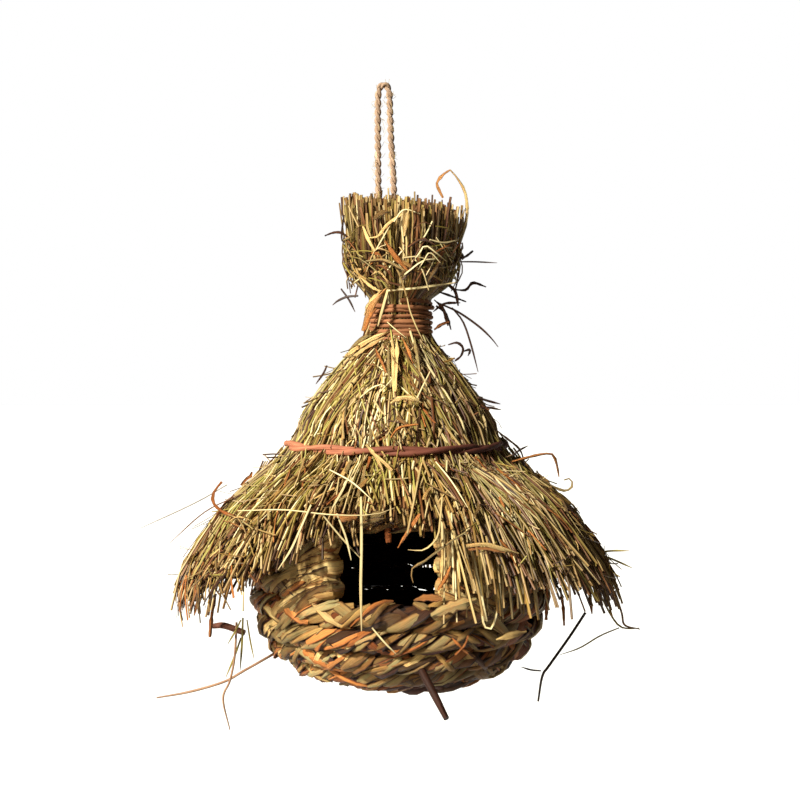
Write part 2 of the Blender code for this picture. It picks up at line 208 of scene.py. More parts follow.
class Finish:
    """A procedural material in the making."""

    def __init__(self, name, roughness=0.6, specular=0.35):
        self.material = bpy.data.materials.new(name)
        self.material.use_nodes = True
        self.tree = self.material.node_tree
        self.shader = self.tree.nodes["Principled BSDF"]
        self.shader.inputs["Roughness"].default_value = roughness
        self.shader.inputs["Specular IOR Level"].default_value = specular

    def node(self, kind, settings=None, inputs=None):
        """Adds a node: its settings first, then a value or a link for each named socket."""
        node = self.tree.nodes.new(kind)
        for name, value in (settings or {}).items():
            if name == "stops":
                self.set_stops(node.color_ramp, value)
            else:
                setattr(node, name, value)
        for name, value in (inputs or {}).items():
            if isinstance(value, Value):
                self.tree.links.new(value.socket, node.inputs[name])
            else:
                node.inputs[name].default_value = value
        return node

    @staticmethod
    def set_stops(ramp, stops):
        while len(ramp.elements) < len(stops):
            ramp.elements.new(0.5)
        for element, (place, colour) in zip(ramp.elements, stops):
            element.position = place
            element.color = (*colour, 1.0)

    def attribute(self, name, output):
        node = self.node("ShaderNodeAttribute", {"attribute_name": name})
        return Value(self, node.outputs[output])

    def channels(self, name):
        """The three numbers kept in a colour attribute."""
        node = self.node("ShaderNodeSeparateColor", None, {0: self.attribute(name, "Color")})
        return [Value(self, output) for output in node.outputs]

    def edge_shade(self, grain, start, darkest):
        """Painted shade: 1 in the middle of a strip or stem, and darker towards its two edges, as the shade
        in the gaps between them.
        """
        node = self.node("ShaderNodeSeparateXYZ", None, {0: grain})
        across = Value(self, node.outputs[1])
        return self.spread(across * across, start, 1.0, 1.0, darkest)

    def place(self):
        node = self.node("ShaderNodeTexCoord")
        return Value(self, node.outputs["Object"])

    def stretch(self, vector, scale):
        node = self.node("ShaderNodeMapping", None, {"Vector": vector, "Scale": scale})
        return Value(self, node.outputs[0])

    def noise(self, vector, scale, detail=3.0, roughness=0.6):
        inputs = {"Vector": vector, "Scale": scale, "Detail": detail, "Roughness": roughness}
        return Value(self, self.node("ShaderNodeTexNoise", None, inputs).outputs[0])

    def ramp(self, value, stops):
        node = self.node("ShaderNodeValToRGB", {"stops": stops}, {"Fac": value})
        return Value(self, node.outputs["Color"])

    def spread(self, value, low, high, to_low=0.0, to_high=1.0):
        inputs = {"Value": value, 1: low, 2: high, 3: to_low, 4: to_high}
        return Value(self, self.node("ShaderNodeMapRange", {"clamp": True}, inputs).outputs[0])

    def mix(self, share, first, second, blend="MIX"):
        settings = {"data_type": "RGBA", "blend_type": blend}
        node = self.node("ShaderNodeMix", settings, {"Factor": share, 6: first, 7: second})
        return Value(self, node.outputs[2])

    def warm(self, value):
        """A shade to multiply a colour by, which turns browner as it darkens."""
        inputs = {0: value, 1: value**1.3, 2: value**1.75}
        return Value(self, self.node("ShaderNodeCombineXYZ", None, inputs).outputs[0])

    def bump(self, height, distance, strength=1.0):
        inputs = {"Height": height, "Distance": distance, "Strength": strength}
        return Value(self, self.node("ShaderNodeBump", None, inputs).outputs[0])

    def connect(self, **inputs):
        for name, value in inputs.items():
            socket = self.shader.inputs[name.replace("_", " ").title()]
            self.tree.links.new(value.socket, socket)
        return self.material


def colour4(colour):
    return (*colour, 1.0)


BLACKENED = (0.016, 0.011, 0.008)


def straw_finish(name, straw, shade=1.0):
    """Dry stems: a colour for each stem, long streaks, darker joints and a brown cut end, with painted light
    and shade: darker for stems given little light and towards the sides of each stem.
    """
    finish = Finish(name, roughness=0.5, specular=0.4)
    tone, light, along = finish.channels("tone")
    grain = finish.attribute("grain", "Vector")
    stops = [
        (0.0, BLACKENED), (0.10, straw.brown), (0.22, straw.brown), (0.32, straw.olive), (0.45, straw.olive),
        (0.60, straw.golden), (0.78, straw.pale), (1.0, straw.pale),
    ]
    colour = finish.ramp(tone, stops)
    streak = finish.noise(finish.stretch(grain, (60.0, 1.3, 1.3)), 1.0, 3.0)
    joint = finish.noise(finish.stretch(grain, (220.0, 0.2, 0.2)), 1.0, 1.0)
    colour = finish.mix(finish.spread(streak, 0.35, 0.75, 0.0, 0.6), colour, colour4(straw.brown))
    spots = finish.spread(joint, 0.62, 0.74, 0.0, 0.45)
    colour = finish.mix(spots, colour, (0.20, 0.11, 0.05, 1.0))
    ends = finish.spread(along, 0.86, 1.0, 0.0, 0.35)
    colour = finish.mix(ends, colour, (0.36, 0.20, 0.09, 1.0))
    # Painted light and shade: the light given to each stem scales its colour, up to a painted highlight, and
    # each stem darkens towards its sides.
    value = finish.spread(light, 0.0, 1.0, 0.10 * shade, 1.25 * shade) * finish.edge_shade(grain, 0.2, 0.35)
    colour = finish.mix(1.0, colour, finish.warm(value), "MULTIPLY")
    normal = finish.bump(streak, 0.00012)
    rough = finish.spread(streak, 0.2, 0.8, 0.4, 0.7)
    return finish.connect(base_color=colour, roughness=rough, normal=normal)


def leaf_finish(name, rope, shade=1.0):
    """Dry leaf strips: a colour for each strip, parallel veins and blotches, with painted light and shade:
    darker for strips given little light and at the edges of each strip.
    """
    finish = Finish(name, roughness=0.55, specular=0.3)
    tone, light, _ = finish.channels("tone")
    grain = finish.attribute("grain", "Vector")
    stops = [
        (0.0, rope.dark), (0.12, rope.dark), (0.24, rope.rust), (0.38, rope.rust), (0.50, rope.khaki),
        (0.74, rope.khaki), (0.90, rope.gold), (1.0, rope.gold),
    ]
    colour = finish.ramp(tone, stops)
    vein = finish.noise(finish.stretch(grain, (26.0, 8.5, 0.4)), 1.0, 5.0, 0.7)
    blotch = finish.noise(finish.stretch(grain, (90.0, 0.7, 0.3)), 1.0, 3.0)
    colour = finish.mix(finish.spread(blotch, 0.42, 0.72, 0.0, 0.55), colour, colour4(rope.rust))
    colour = finish.mix(finish.spread(vein, 0.50, 0.70, 0.0, 0.75), colour, colour4(rope.dark))
    colour = finish.mix(finish.spread(vein, 0.42, 0.28, 0.0, 0.45), colour, colour4(rope.gold))
    # Painted light and shade: the light given to each strip scales its colour, and each strip darkens
    # sharply at its edges, as the shade between strips.
    value = finish.spread(light, 0.0, 1.0, 0.07 * shade, 1.25 * shade) * finish.edge_shade(grain, 0.5, 0.10)
    colour = finish.mix(1.0, colour, finish.warm(value), "MULTIPLY")
    normal = finish.bump(vein, 0.0009)
    rough = finish.spread(vein, 0.2, 0.8, 0.42, 0.75)
    return finish.connect(base_color=colour, roughness=rough, normal=normal)


def bark_finish(name, dark, light, painted_light_stops=None, roughness=0.6):
    """Bark of a vine or a stick, streaked along its length; painted_light_stops, if given, multiply in
    painted light and shade along it.
    """
    finish = Finish(name, roughness=roughness, specular=0.15)
    grain = finish.attribute("grain", "Vector")
    tone, _, along = finish.channels("tone")
    streak = finish.noise(finish.stretch(grain, (90.0, 2.2, 2.2)), 1.0, 5.0)
    patch = finish.noise(finish.stretch(grain, (45.0, 0.5, 0.5)), 1.0, 2.0)
    share = finish.spread(streak, 0.3, 0.7) * 0.6 + finish.spread(patch, 0.35, 0.7) * 0.4
    colour = finish.mix(share, colour4(dark), colour4(light))
    colour = finish.mix(tone * 0.6, colour, colour4([min(1.0, part * 1.5) for part in light]))
    # Painted light and shade along the length, where stops are given.
    if painted_light_stops:
        colour = finish.mix(1.0, colour, finish.ramp(along, painted_light_stops), "MULTIPLY")
    normal = finish.bump(streak, 0.0004)
    rough = finish.spread(streak, 0.2, 0.8, roughness - 0.1, roughness + 0.2)
    return finish.connect(base_color=colour, roughness=rough, normal=normal)


def jute_finish(cord):
    """Twisted jute: fine fibres along each ply, dark in the grooves."""
    finish = Finish("jute_cord", roughness=0.9, specular=0.15)
    grain = finish.attribute("grain", "Vector")
    fibre = finish.noise(finish.stretch(grain, (160.0, 5.0, 5.0)), 1.0, 4.0)
    patch = finish.noise(finish.stretch(grain, (60.0, 0.6, 0.6)), 1.0, 2.0)
    dark = [part * 0.38 for part in cord.jute]
    pale = [min(1.0, part * 1.45) for part in cord.jute]
    colour = finish.mix(finish.spread(fibre, 0.3, 0.72), colour4(dark), colour4(cord.jute))
    colour = finish.mix(finish.spread(patch, 0.5, 0.75, 0.0, 0.6), colour, colour4(pale))
    normal = finish.bump(fibre, 0.0006)
    rough = finish.spread(fibre, 0.2, 0.8, 0.8, 1.0)
    return finish.connect(base_color=colour, roughness=rough, normal=normal)


def core_finish(name, dark, light):
    """Packed straw seen in the gaps, on Object coordinates: near black with upright streaks, as painted
    shade deep in the straw.
    """
    finish = Finish(name, roughness=0.9, specular=0.1)
    streak = finish.noise(finish.stretch(finish.place(), (900.0, 900.0, 60.0)), 1.0, 4.0)
    colour = finish.mix(finish.spread(streak, 0.4, 0.75), colour4(dark), colour4(light))
    normal = finish.bump(streak, 0.0015)
    rough = finish.spread(streak, 0.0, 1.0, 0.85, 1.0)
    return finish.connect(base_color=colour, roughness=rough, normal=normal)


# ---------------------------------------------------------------- modelled once, then copied


def select_only(obj):
    bpy.ops.object.select_all(action="DESELECT")
    obj.select_set(True)
    bpy.context.view_layer.objects.active = obj


def start_edit(obj):
    select_only(obj)
    bpy.ops.object.mode_set(mode="EDIT")
    bpy.ops.mesh.select_mode(type="VERT")
    bpy.ops.mesh.select_all(action="SELECT")


def end_edit():
    bpy.ops.object.mode_set(mode="OBJECT")


def slice_up(places, normal):
    """Cuts the selected mesh by planes across the normal, at each place along it."""
    for place in places:
        bpy.ops.mesh.select_all(action="SELECT")
        centre = [part * place for part in normal]
        bpy.ops.mesh.bisect(plane_co=centre, plane_no=normal)


class Template:
    """A small shape from x = 0 to 1, made of equal slices, whose copies bend along paths."""

    def __init__(self, obj, levels):
        mesh = obj.data
        points = np.empty(len(mesh.vertices) * 3)
        mesh.vertices.foreach_get("co", points)
        points = points.reshape(-1, 3)
        self.levels = levels
        self.level = np.clip(np.rint(points[:, 0] * (levels - 1)).astype(int), 0, levels - 1)
        self.across = points[:, 1]
        self.lift = points[:, 2]
        self.loop_verts = np.empty(len(mesh.loops), dtype=np.int32)
        mesh.loops.foreach_get("vertex_index", self.loop_verts)
        self.loop_starts = np.empty(len(mesh.polygons), dtype=np.int32)
        mesh.polygons.foreach_get("loop_start", self.loop_starts)
        bpy.data.objects.remove(obj, do_unlink=True)
        bpy.data.meshes.remove(mesh)


def cut_template(levels, folds=0):
    """Cuts the shape just added into slices along x, and at its folds across y."""
    obj = bpy.context.active_object
    bpy.ops.object.transform_apply(location=True, rotation=True, scale=True)
    start_edit(obj)
    slice_up([index / (levels - 1) for index in range(1, levels - 1)], (1.0, 0.0, 0.0))
    slice_up([-1.0 + 2.0 * (index + 1) / (folds + 1) for index in range(folds)], (0.0, 1.0, 0.0))
    bpy.ops.mesh.select_all(action="SELECT")
    bpy.ops.mesh.normals_make_consistent(inside=False)
    end_edit()
    return Template(obj, levels)


def stem_template(levels, sides):
    """A round stem of radius 1 with flat ends."""
    bpy.ops.object.select_all(action="DESELECT")
    bpy.ops.mesh.primitive_cylinder_add(
        vertices=sides, radius=1.0, depth=1.0, location=(0.5, 0, 0), rotation=(0, math.pi / 2, 0)
    )
    return cut_template(levels)


def strip_template(levels, folds):
    """A flat leaf strip from y = -1 to 1 and z = -1 to 1, with lines for its folds."""
    bpy.ops.object.select_all(action="DESELECT")
    bpy.ops.mesh.primitive_cube_add(size=1.0, location=(0.5, 0, 0), scale=(1.0, 2.0, 2.0))
    return cut_template(levels, folds)


class Runs:
    """The paths that copies of one template follow, gathered before they become one mesh."""

    def __init__(self, levels):
        self.levels = levels
        self.parts = []

    def add(self, paths, ups, wide, thick, crown, tone, light):
        """Arrays for many copies: paths and ups (n, levels, 3), the others (n, levels) or (n,)."""
        count = len(paths)
        row = (count, self.levels)

        def level_values(value):
            value = np.asarray(value, dtype=float)
            if value.ndim == 1:
                value = value[:, None]
            return np.broadcast_to(value, row).copy()

        self.parts.append((
            np.asarray(paths, dtype=float),
            np.broadcast_to(np.asarray(ups, dtype=float), (count, self.levels, 3)).copy(),
            level_values(wide),
            level_values(thick),
            level_values(crown),
            np.broadcast_to(np.asarray(tone, dtype=float), (count,)).copy(),
            np.broadcast_to(np.asarray(light, dtype=float), (count,)).copy(),
        ))

    def add_one(self, points, up, wide, thick, crown=0.0, tone=0.6, light=0.6, taper=(1.0, 1.0), torn=None):
        """One copy along a smooth curve through a few points; taper scales its two ends.

        torn is one number for each level, which makes the width uneven.
        """
        path = smooth_path(points, self.levels)[None]
        share = np.linspace(0.0, 1.0, self.levels)
        shape = np.interp(share, [0.0, 0.3, 0.7, 1.0], [taper[0], 1.0, 1.0, taper[1]])
        if torn is not None:
            shape = shape * torn
        up = np.asarray(up, dtype=float)
        if up.ndim == 2:
            up = smooth_path(up, self.levels)
        self.add(path, up, shape[None] * wide, np.array([thick]), np.array([crown]), tone, light)


def smooth_path(points, levels):
    """Evenly spaced places on a smooth curve through a few points."""
    points = np.asarray(points, dtype=float)
    padded = np.vstack([2 * points[0] - points[1], points, 2 * points[-1] - points[-2]])
    fine = []
    steps = np.linspace(0.0, 1.0, 12, endpoint=False)[:, None]
    for index in range(1, len(padded) - 2):
        before, start, end, after = padded[index - 1:index + 3]
        fine.append(0.5 * (
            2 * start + (end - before) * steps
            + (2 * before - 5 * start + 4 * end - after) * steps**2
            + (3 * start - before - 3 * end + after) * steps**3
        ))
    fine = np.vstack(fine + [points[-1:]])
    travel = np.concatenate([[0.0], np.cumsum(np.linalg.norm(np.diff(fine, axis=0), axis=1))])
    wanted = np.linspace(0.0, travel[-1], levels)
    return np.stack([np.interp(wanted, travel, fine[:, axis]) for axis in range(3)], axis=1)


def unit(vectors):
    return vectors / np.maximum(np.linalg.norm(vectors, axis=-1, keepdims=True), 1e-12)


def mesh_object(name, points, loop_verts, loop_starts, material):
    mesh = bpy.data.meshes.new(name)
    mesh.vertices.add(len(points))
    mesh.vertices.foreach_set("co", np.ascontiguousarray(points, dtype=np.float32).ravel())
    mesh.loops.add(len(loop_verts))
    mesh.loops.foreach_set("vertex_index", loop_verts.astype(np.int32))
    mesh.polygons.add(len(loop_starts))
    mesh.polygons.foreach_set("loop_start", loop_starts.astype(np.int32))
    mesh.update(calc_edges=True)
    mesh.validate()
    mesh.materials.append(material)
    obj = bpy.data.objects.new(name, mesh)
    bpy.context.scene.collection.objects.link(obj)
    return obj


def lay_copies(name, template, runs, material):
    """One mesh of all the copies, each bent along its path, with its colour and grain kept."""
    paths, ups, wide, thick, crown, tone, light = (
        np.concatenate([part[index] for part in runs.parts]) for index in range(7)
    )
    count = len(paths)
    tangents = unit(np.gradient(paths, axis=1))
    sides = unit(np.cross(tangents, ups))
    normals = np.cross(sides, tangents)
    level = template.level
    across = template.across[None, :, None]
    lift = template.lift[None, :, None]
    bulge = 1.0 - across**2
    points = (
        paths[:, level]
        + sides[:, level] * across * wide[:, level, None]
        + normals[:, level] * (lift * thick[:, level, None] + bulge * crown[:, level, None])
    )
    size = len(level)
    offsets = np.arange(count)[:, None]
    loop_verts = (template.loop_verts[None] + offsets * size).ravel()
    loop_starts = (template.loop_starts[None] + offsets * len(template.loop_verts)).ravel()
    obj = mesh_object(name, points.reshape(-1, 3), loop_verts, loop_starts, material)
    steps = np.linalg.norm(np.diff(paths, axis=1), axis=2)
    travel = np.concatenate([np.zeros((count, 1)), np.cumsum(steps, axis=1)], axis=1)
    start = (np.arange(count) * GOLDEN_SHARE % 1.0) * 7.0
    grain = np.stack([
        travel[:, level] + start[:, None],
        np.broadcast_to(template.across, (count, size)),
        np.broadcast_to(template.lift, (count, size)) + start[:, None] * 3.0,
    ], axis=2)
    share = np.broadcast_to(level / (template.levels - 1), (count, size))
    # tone keeps each copy's tone, its light, which the finishes multiply in as painted light and shade, and
    # its share along its path.
    tones = np.stack([
        np.broadcast_to(tone[:, None], (count, size)),
        np.broadcast_to(light[:, None], (count, size)),
        share,
        np.ones((count, size)),
    ], axis=2)
    attribute = obj.data.attributes.new("grain", "FLOAT_VECTOR", "POINT")
    attribute.data.foreach_set("vector", grain.astype(np.float32).ravel())
    attribute = obj.data.attributes.new("tone", "FLOAT_COLOR", "POINT")
    attribute.data.foreach_set("color", tones.astype(np.float32).ravel())
    select_only(obj)
    bpy.ops.object.shade_smooth_by_angle(angle=SMOOTH_ANGLE)
    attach(obj, "root")
    return obj


# ---------------------------------------------------------------- shape of the roof

ROOF_LINE = np.array([
    # share of the eave radius, share of the height from the roof's top to the eave
    (0.100, -0.170),
    (0.118, -0.020),
    (0.165, 0.000),
    (0.205, 0.030),
    (0.280, 0.110),
    (0.382, 0.215),
    (0.455, 0.310),
    (0.480, 0.385),
    (0.530, 0.440),
    (0.635, 0.505),
    (0.785, 0.610),
    (0.895, 0.735),
    (0.980, 0.830),
    (1.015, 0.890),
    (1.035, 0.950),
    (1.050, 1.020),
    (1.060, 1.130),
])


def roof_line():
    """Radius, height and distance travelled along the outside of the roof, from the neck down."""
    radius = ROOF_LINE[:, 0] * EAVE_R
    height = ROOF_TOP_Z + ROOF_LINE[:, 1] * (EAVE_Z - ROOF_TOP_Z)
    steps = np.hypot(np.diff(radius), np.diff(height))
    return radius, height, np.concatenate([[0.0], np.cumsum(steps)])


LINE_RADIUS, LINE_HEIGHT, LINE_TRAVEL = roof_line()
LINE_LENGTH = LINE_TRAVEL[-1]

EAVE_ANGLES = [-180, -75, -60, -50, -43, -32, -24, -10, 8, 15, 19, 30, 42, 58, 75, 180]
EAVE_HEIGHTS = [
    -252, -247, -243, -238, -229, -215, -206, -203, -203, -205, -212, -226, -235, -242, -244, -252,
]
SIDEWAYS = -1.9 * MM
HOOP_PRESS_WIDTH = 6.5 * MM
HOOP_PRESS_LIFT = -2.2 * MM
CORE_SINK = 4.2 * MM


def travel_at(height):
    """How far down the roof's outside a height is reached."""
    return np.interp(-np.asarray(height), -LINE_HEIGHT, LINE_TRAVEL)


WAIST_TRAVEL = float(np.interp(-HOOP_Z, -LINE_HEIGHT, LINE_TRAVEL))


def press_down(travel, lift):
    """Lift of a stem, pressed under the hoop where it crosses it."""
    near = np.exp(-((travel - WAIST_TRAVEL) / HOOP_PRESS_WIDTH) ** 2)
    return lift + near * (np.minimum(lift, HOOP_PRESS_LIFT) - lift)


def eave_travel(degrees):
    """How far down the roof the straw reaches, at an angle in degrees from the front."""
    wrapped = (np.asarray(degrees) + 180.0) % 360.0 - 180.0
    return travel_at(np.interp(wrapped, EAVE_ANGLES, EAVE_HEIGHTS) * MM)


def on_roof(degrees, travel, lift):
    """Points on the roof's outside, raised by the lift, and the outward direction there."""
    degrees, travel, lift = np.broadcast_arrays(degrees, travel, lift)
    small = 0.5 * MM
    radius = np.interp(travel, LINE_TRAVEL, LINE_RADIUS)
    height = np.interp(travel, LINE_TRAVEL, LINE_HEIGHT)
    d_radius = np.interp(travel + small, LINE_TRAVEL, LINE_RADIUS) - np.interp(
        travel - small, LINE_TRAVEL, LINE_RADIUS)
    d_height = np.interp(travel + small, LINE_TRAVEL, LINE_HEIGHT) - np.interp(
        travel - small, LINE_TRAVEL, LINE_HEIGHT)
    size = np.maximum(np.hypot(d_radius, d_height), 1e-9)
    out_radius = -d_height / size
    out_height = d_radius / size
    angle = np.radians(degrees - 90.0)
    radius = radius + lift * out_radius
    middle = AXIS_X + SIDEWAYS * np.sin(np.clip(travel / LINE_LENGTH, 0.0, 1.0) * math.pi)
    points = np.stack(
        [middle + radius * np.cos(angle), radius * np.sin(angle), height + lift * out_height], axis=-1
    )
    outward = np.stack([out_radius * np.cos(angle), out_radius * np.sin(angle), out_height], axis=-1)
    return points, outward


def roof_core(material):
    """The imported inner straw: a shell a little under the surface, short over the entrance."""
    bpy.ops.object.select_all(action="DESELECT")
    bpy.ops.mesh.primitive_cylinder_add(
        vertices=96, radius=1.0, depth=1.0, end_fill_type="NOTHING", location=(0.0, 0.0, 0.5)
    )
    obj = bpy.context.active_object
    bpy.ops.object.transform_apply(location=True, rotation=True, scale=True)
    start_edit(obj)
    slice_up([index / 18 for index in range(1, 18)], (0.0, 0.0, 1.0))
    end_edit()
    for vertex in obj.data.vertices:
        degrees = math.degrees(math.atan2(vertex.co.y, vertex.co.x)) + 90.0
        end = float(eave_travel(degrees)) - 9.0 * MM
        start = 4.0 * MM
        travel = start + (1.0 - vertex.co.z) * (end - start)
        ripple = 0.6 * MM * math.sin(degrees * 1.9) + 0.5 * MM * math.sin(degrees * 4.7 + travel * 300.0)
        point, _ = on_roof(degrees, travel, -CORE_SINK + ripple)
        vertex.co = point
    obj.name = obj.data.name = "roof_inner_straw"
    select_only(obj)
    thicken = obj.modifiers.new("thickness", "SOLIDIFY")
    thicken.thickness = 2.5 * MM
    thicken.offset = -1.0
    bpy.ops.object.modifier_apply(modifier="thickness")
    bpy.ops.object.shade_smooth()
    obj.data.materials.clear()
    obj.data.materials.append(material)
    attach(obj, "root")
    return obj


def roof_paths(rng, count, levels, start, end, lift, drift, sway, clumps):
    """Paths down the roof in clumps. start and end are shares of the way to the eave."""
    member = rng.integers(0, clumps, count)
    middles = np.linspace(-180.0, 180.0, clumps, endpoint=False) + rng.normal(0.0, 1.2, clumps)
    degrees = middles[member] + rng.normal(0.0, 130.0 / clumps, count)
    limit = eave_travel(degrees)
    begin = rng.uniform(start[0], start[1], count) * limit
    reach = rng.normal(0.0, 2.4 * MM, clumps)[member] + rng.normal(0.0, 3.4 * MM, count)
    finish = limit * rng.uniform(end[0], end[1], count) + reach
    finish = np.maximum(finish, begin + 12 * MM)
    share = np.linspace(0.0, 1.0, levels)[None]
    travel = begin[:, None] + share * (finish - begin)[:, None]
    radius = np.interp(travel, LINE_TRAVEL, LINE_RADIUS)
    slope = rng.normal(0.0, drift, clumps)[member] + rng.normal(0.0, drift * 0.45, count)
    shift = slope[:, None] * (travel - travel.mean(axis=1, keepdims=True))
    bend = rng.normal(0.0, sway, count)[:, None] * np.sin(share * math.pi) * (finish - begin)[:, None]
    angles = degrees[:, None] + np.degrees((shift + bend) / np.maximum(radius, 22 * MM))
    raised = rng.normal(0.0, 0.5 * MM, clumps)[member] + rng.uniform(lift[0], lift[1], count)
    height = raised[:, None] + rng.normal(0.0, 0.9 * MM, count)[:, None] * share
    points, outward = on_roof(angles, travel, press_down(travel, height))
    return points, outward, degrees


def sun_side(degrees):
    """1 on the left front of the nest, where the sun falls, and 0 on the right back, where the tones are
    painted browner as shade.
    """
    return 0.5 + 0.5 * np.cos(np.radians(np.asarray(degrees) + 35.0))


def stem_tones(rng, degrees):
    """Tones for the straw ramp: a few brown stems, then olive and golden ones, and many pale ones."""
    drawn = rng.uniform(size=len(degrees))
    base = np.interp(drawn, [0.0, 0.18, 0.45, 0.62, 1.0], [0.08, 0.28, 0.48, 0.68, 1.0])
    # Painted shade: stems away from the sun get a browner tone.
    return np.clip(base - 0.10 * (1.0 - sun_side(degrees)), 0.0, 1.0)


# ---------------------------------------------------------------- operators


FLOOR_SIZE = 30.0
FLOOR_DROP = 0.55


class NEST_OT_stage(bpy.types.Operator):
    """Add the camera, the lights and the pale floor"""

    bl_idname = "nest.stage"
    bl_label = "Stage"

    def execute(self, context):
        stage = context.scene.nest_stage
        middle = np.array([AXIS_X, 0.0, (CAD_BOX[0][2] + CAD_BOX[1][2]) / 2 + 1.4 * MM])
        lean = stage.elevation
        offset = np.array([0.0, -math.cos(lean), math.sin(lean)]) * stage.distance
        data = bpy.data.cameras.new("camera")
        data.lens = stage.lens
        camera = bpy.data.objects.new("camera", data)
        context.scene.collection.objects.link(camera)
        camera.location = middle + offset
        camera.rotation_euler = (math.pi / 2 - lean, 0.0, 0.0)
        context.scene.camera = camera
        self.add_lights(context, stage)
        self.add_floor()
        return {"FINISHED"}

    def add_lights(self, context, stage):
        lights = (
            # name, strength, size, colour, lean from straight above, turn to the left
            ("key_light", stage.key, 7.0, (1.0, 0.97, 0.86), stage.lean, stage.turn),
            ("low_light", stage.low, 14.0, (1.0, 0.88, 0.70), math.radians(84.0), math.radians(50.0)),
        )
        for name, strength, size, colour, lean, turn in lights:
            data = bpy.data.lights.new(name, "SUN")
            data.energy = strength
            data.angle = math.radians(size)
            data.color = colour
            light = bpy.data.objects.new(name, data)
            light.rotation_euler = (lean, 0.0, -turn)
            context.scene.collection.objects.link(light)
        context.scene.world = self.make_surroundings(stage.sky)
        context.scene.view_settings.view_transform = "Standard"

    @staticmethod
    def make_surroundings(strength):
        """A white backdrop that gives only a soft fill light."""
        world = bpy.data.worlds.new("surroundings")
        world.use_nodes = True
        tree = world.node_tree
        fill = tree.nodes["Background"]
        fill.inputs["Color"].default_value = (1.0, 0.86, 0.66, 1.0)
        fill.inputs["Strength"].default_value = strength
        backdrop = tree.nodes.new("ShaderNodeBackground")
        backdrop.inputs["Color"].default_value = (1.0, 1.0, 1.0, 1.0)
        path = tree.nodes.new("ShaderNodeLightPath")
        choose = tree.nodes.new("ShaderNodeMixShader")
        tree.links.new(path.outputs["Is Camera Ray"], choose.inputs["Fac"])
        tree.links.new(fill.outputs[0], choose.inputs[1])
        tree.links.new(backdrop.outputs[0], choose.inputs[2])
        tree.links.new(choose.outputs[0], tree.nodes["World Output"].inputs["Surface"])
        return world

    def add_floor(self):
        bpy.ops.object.select_all(action="DESELECT")
        bpy.ops.mesh.primitive_plane_add(size=FLOOR_SIZE, location=(0.0, 0.0, CAD_BOX[0][2] - FLOOR_DROP))
        floor = bpy.context.active_object
        floor.name = "floor"
        floor.visible_diffuse = False
        finish = Finish("pale_floor", roughness=0.9, specular=0.1)
        fleck = finish.noise(finish.place(), 3.0)
        colour = finish.mix(fleck, (0.92, 0.94, 1.0, 1.0), (0.94, 0.96, 1.0, 1.0))
        floor.data.materials.append(finish.connect(base_color=colour))


CORD_ROUTE = [
    # sideways and up from the inside of the loop's top, in mm
    (-2.7, -80.0), (-2.7, -68.0), (-2.7, -56.0), (-2.8, -47.0), (-2.9, -38.0), (-3.0, -26.0), (-3.0, -14.0),
    (-2.9, -6.0), (-2.5, -1.5), (-1.4, 0.9), (0.0, 1.6), (1.4, 0.9), (2.5, -1.5), (2.9, -6.0), (3.1, -14.0),
    (3.6, -26.0), (4.3, -38.0), (4.8, -47.0), (5.0, -56.0), (5.0, -68.0), (5.0, -80.0),
]


def cord_path(levels):
    route = np.array(CORD_ROUTE) * MM
    return smooth_path(np.stack([route[:, 0], np.zeros(len(route)), route[:, 1]], axis=1), levels)


class NEST_OT_cord(bpy.types.Operator):
    """Twist the two plies of the hanging loop"""

    bl_idname = "nest.cord"
    bl_label = "Hanging Cord"

    def execute(self, context):
        settings = context.scene.nest_cord
        levels = 240
        path = cord_path(levels)
        length = float(np.sum(np.linalg.norm(np.diff(path, axis=0), axis=1)))
        template = stem_template(levels, 10)
        front = np.array([0.0, -1.0, 0.0])
        tangents = unit(np.gradient(path, axis=0))
        sides = unit(np.cross(tangents, front))
        travel = np.linspace(0.0, length, levels)
        runs = Runs(levels)
        offset = settings.diameter * 0.25
        for phase in (0.0, math.pi):
            turn = travel / settings.lay * 2 * math.pi + phase
            ply = path + offset * (sides * np.cos(turn)[:, None] + front * np.sin(turn)[:, None])
            swell = settings.diameter * (0.285 + 0.012 * np.sin(travel * 1700.0 + phase))
            runs.add(ply[None], front, swell[None], swell[None], np.zeros(1), 0.5, 0.6)
        cord = lay_copies("hanging_cord_twisted", template, runs, jute_finish(settings))
        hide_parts("hanging_cord")
        return {"FINISHED"}


BRUSH_LINE = [
    # share of the height above the binding, share of the flare
    (-0.36, 0.0), (-0.10, 0.0), (0.02, 0.10), (0.10, 0.36), (0.20, 0.66), (0.32, 0.76), (0.48, 0.86),
    (0.66, 0.93), (0.84, 0.97), (1.00, 1.0),
]
BRUSH_SHIFT = 1.9 * MM
BRUSH_INSET = 2.6 * MM
BRUSH_FILL = 0.96
BRUSH_TILT = 0.11


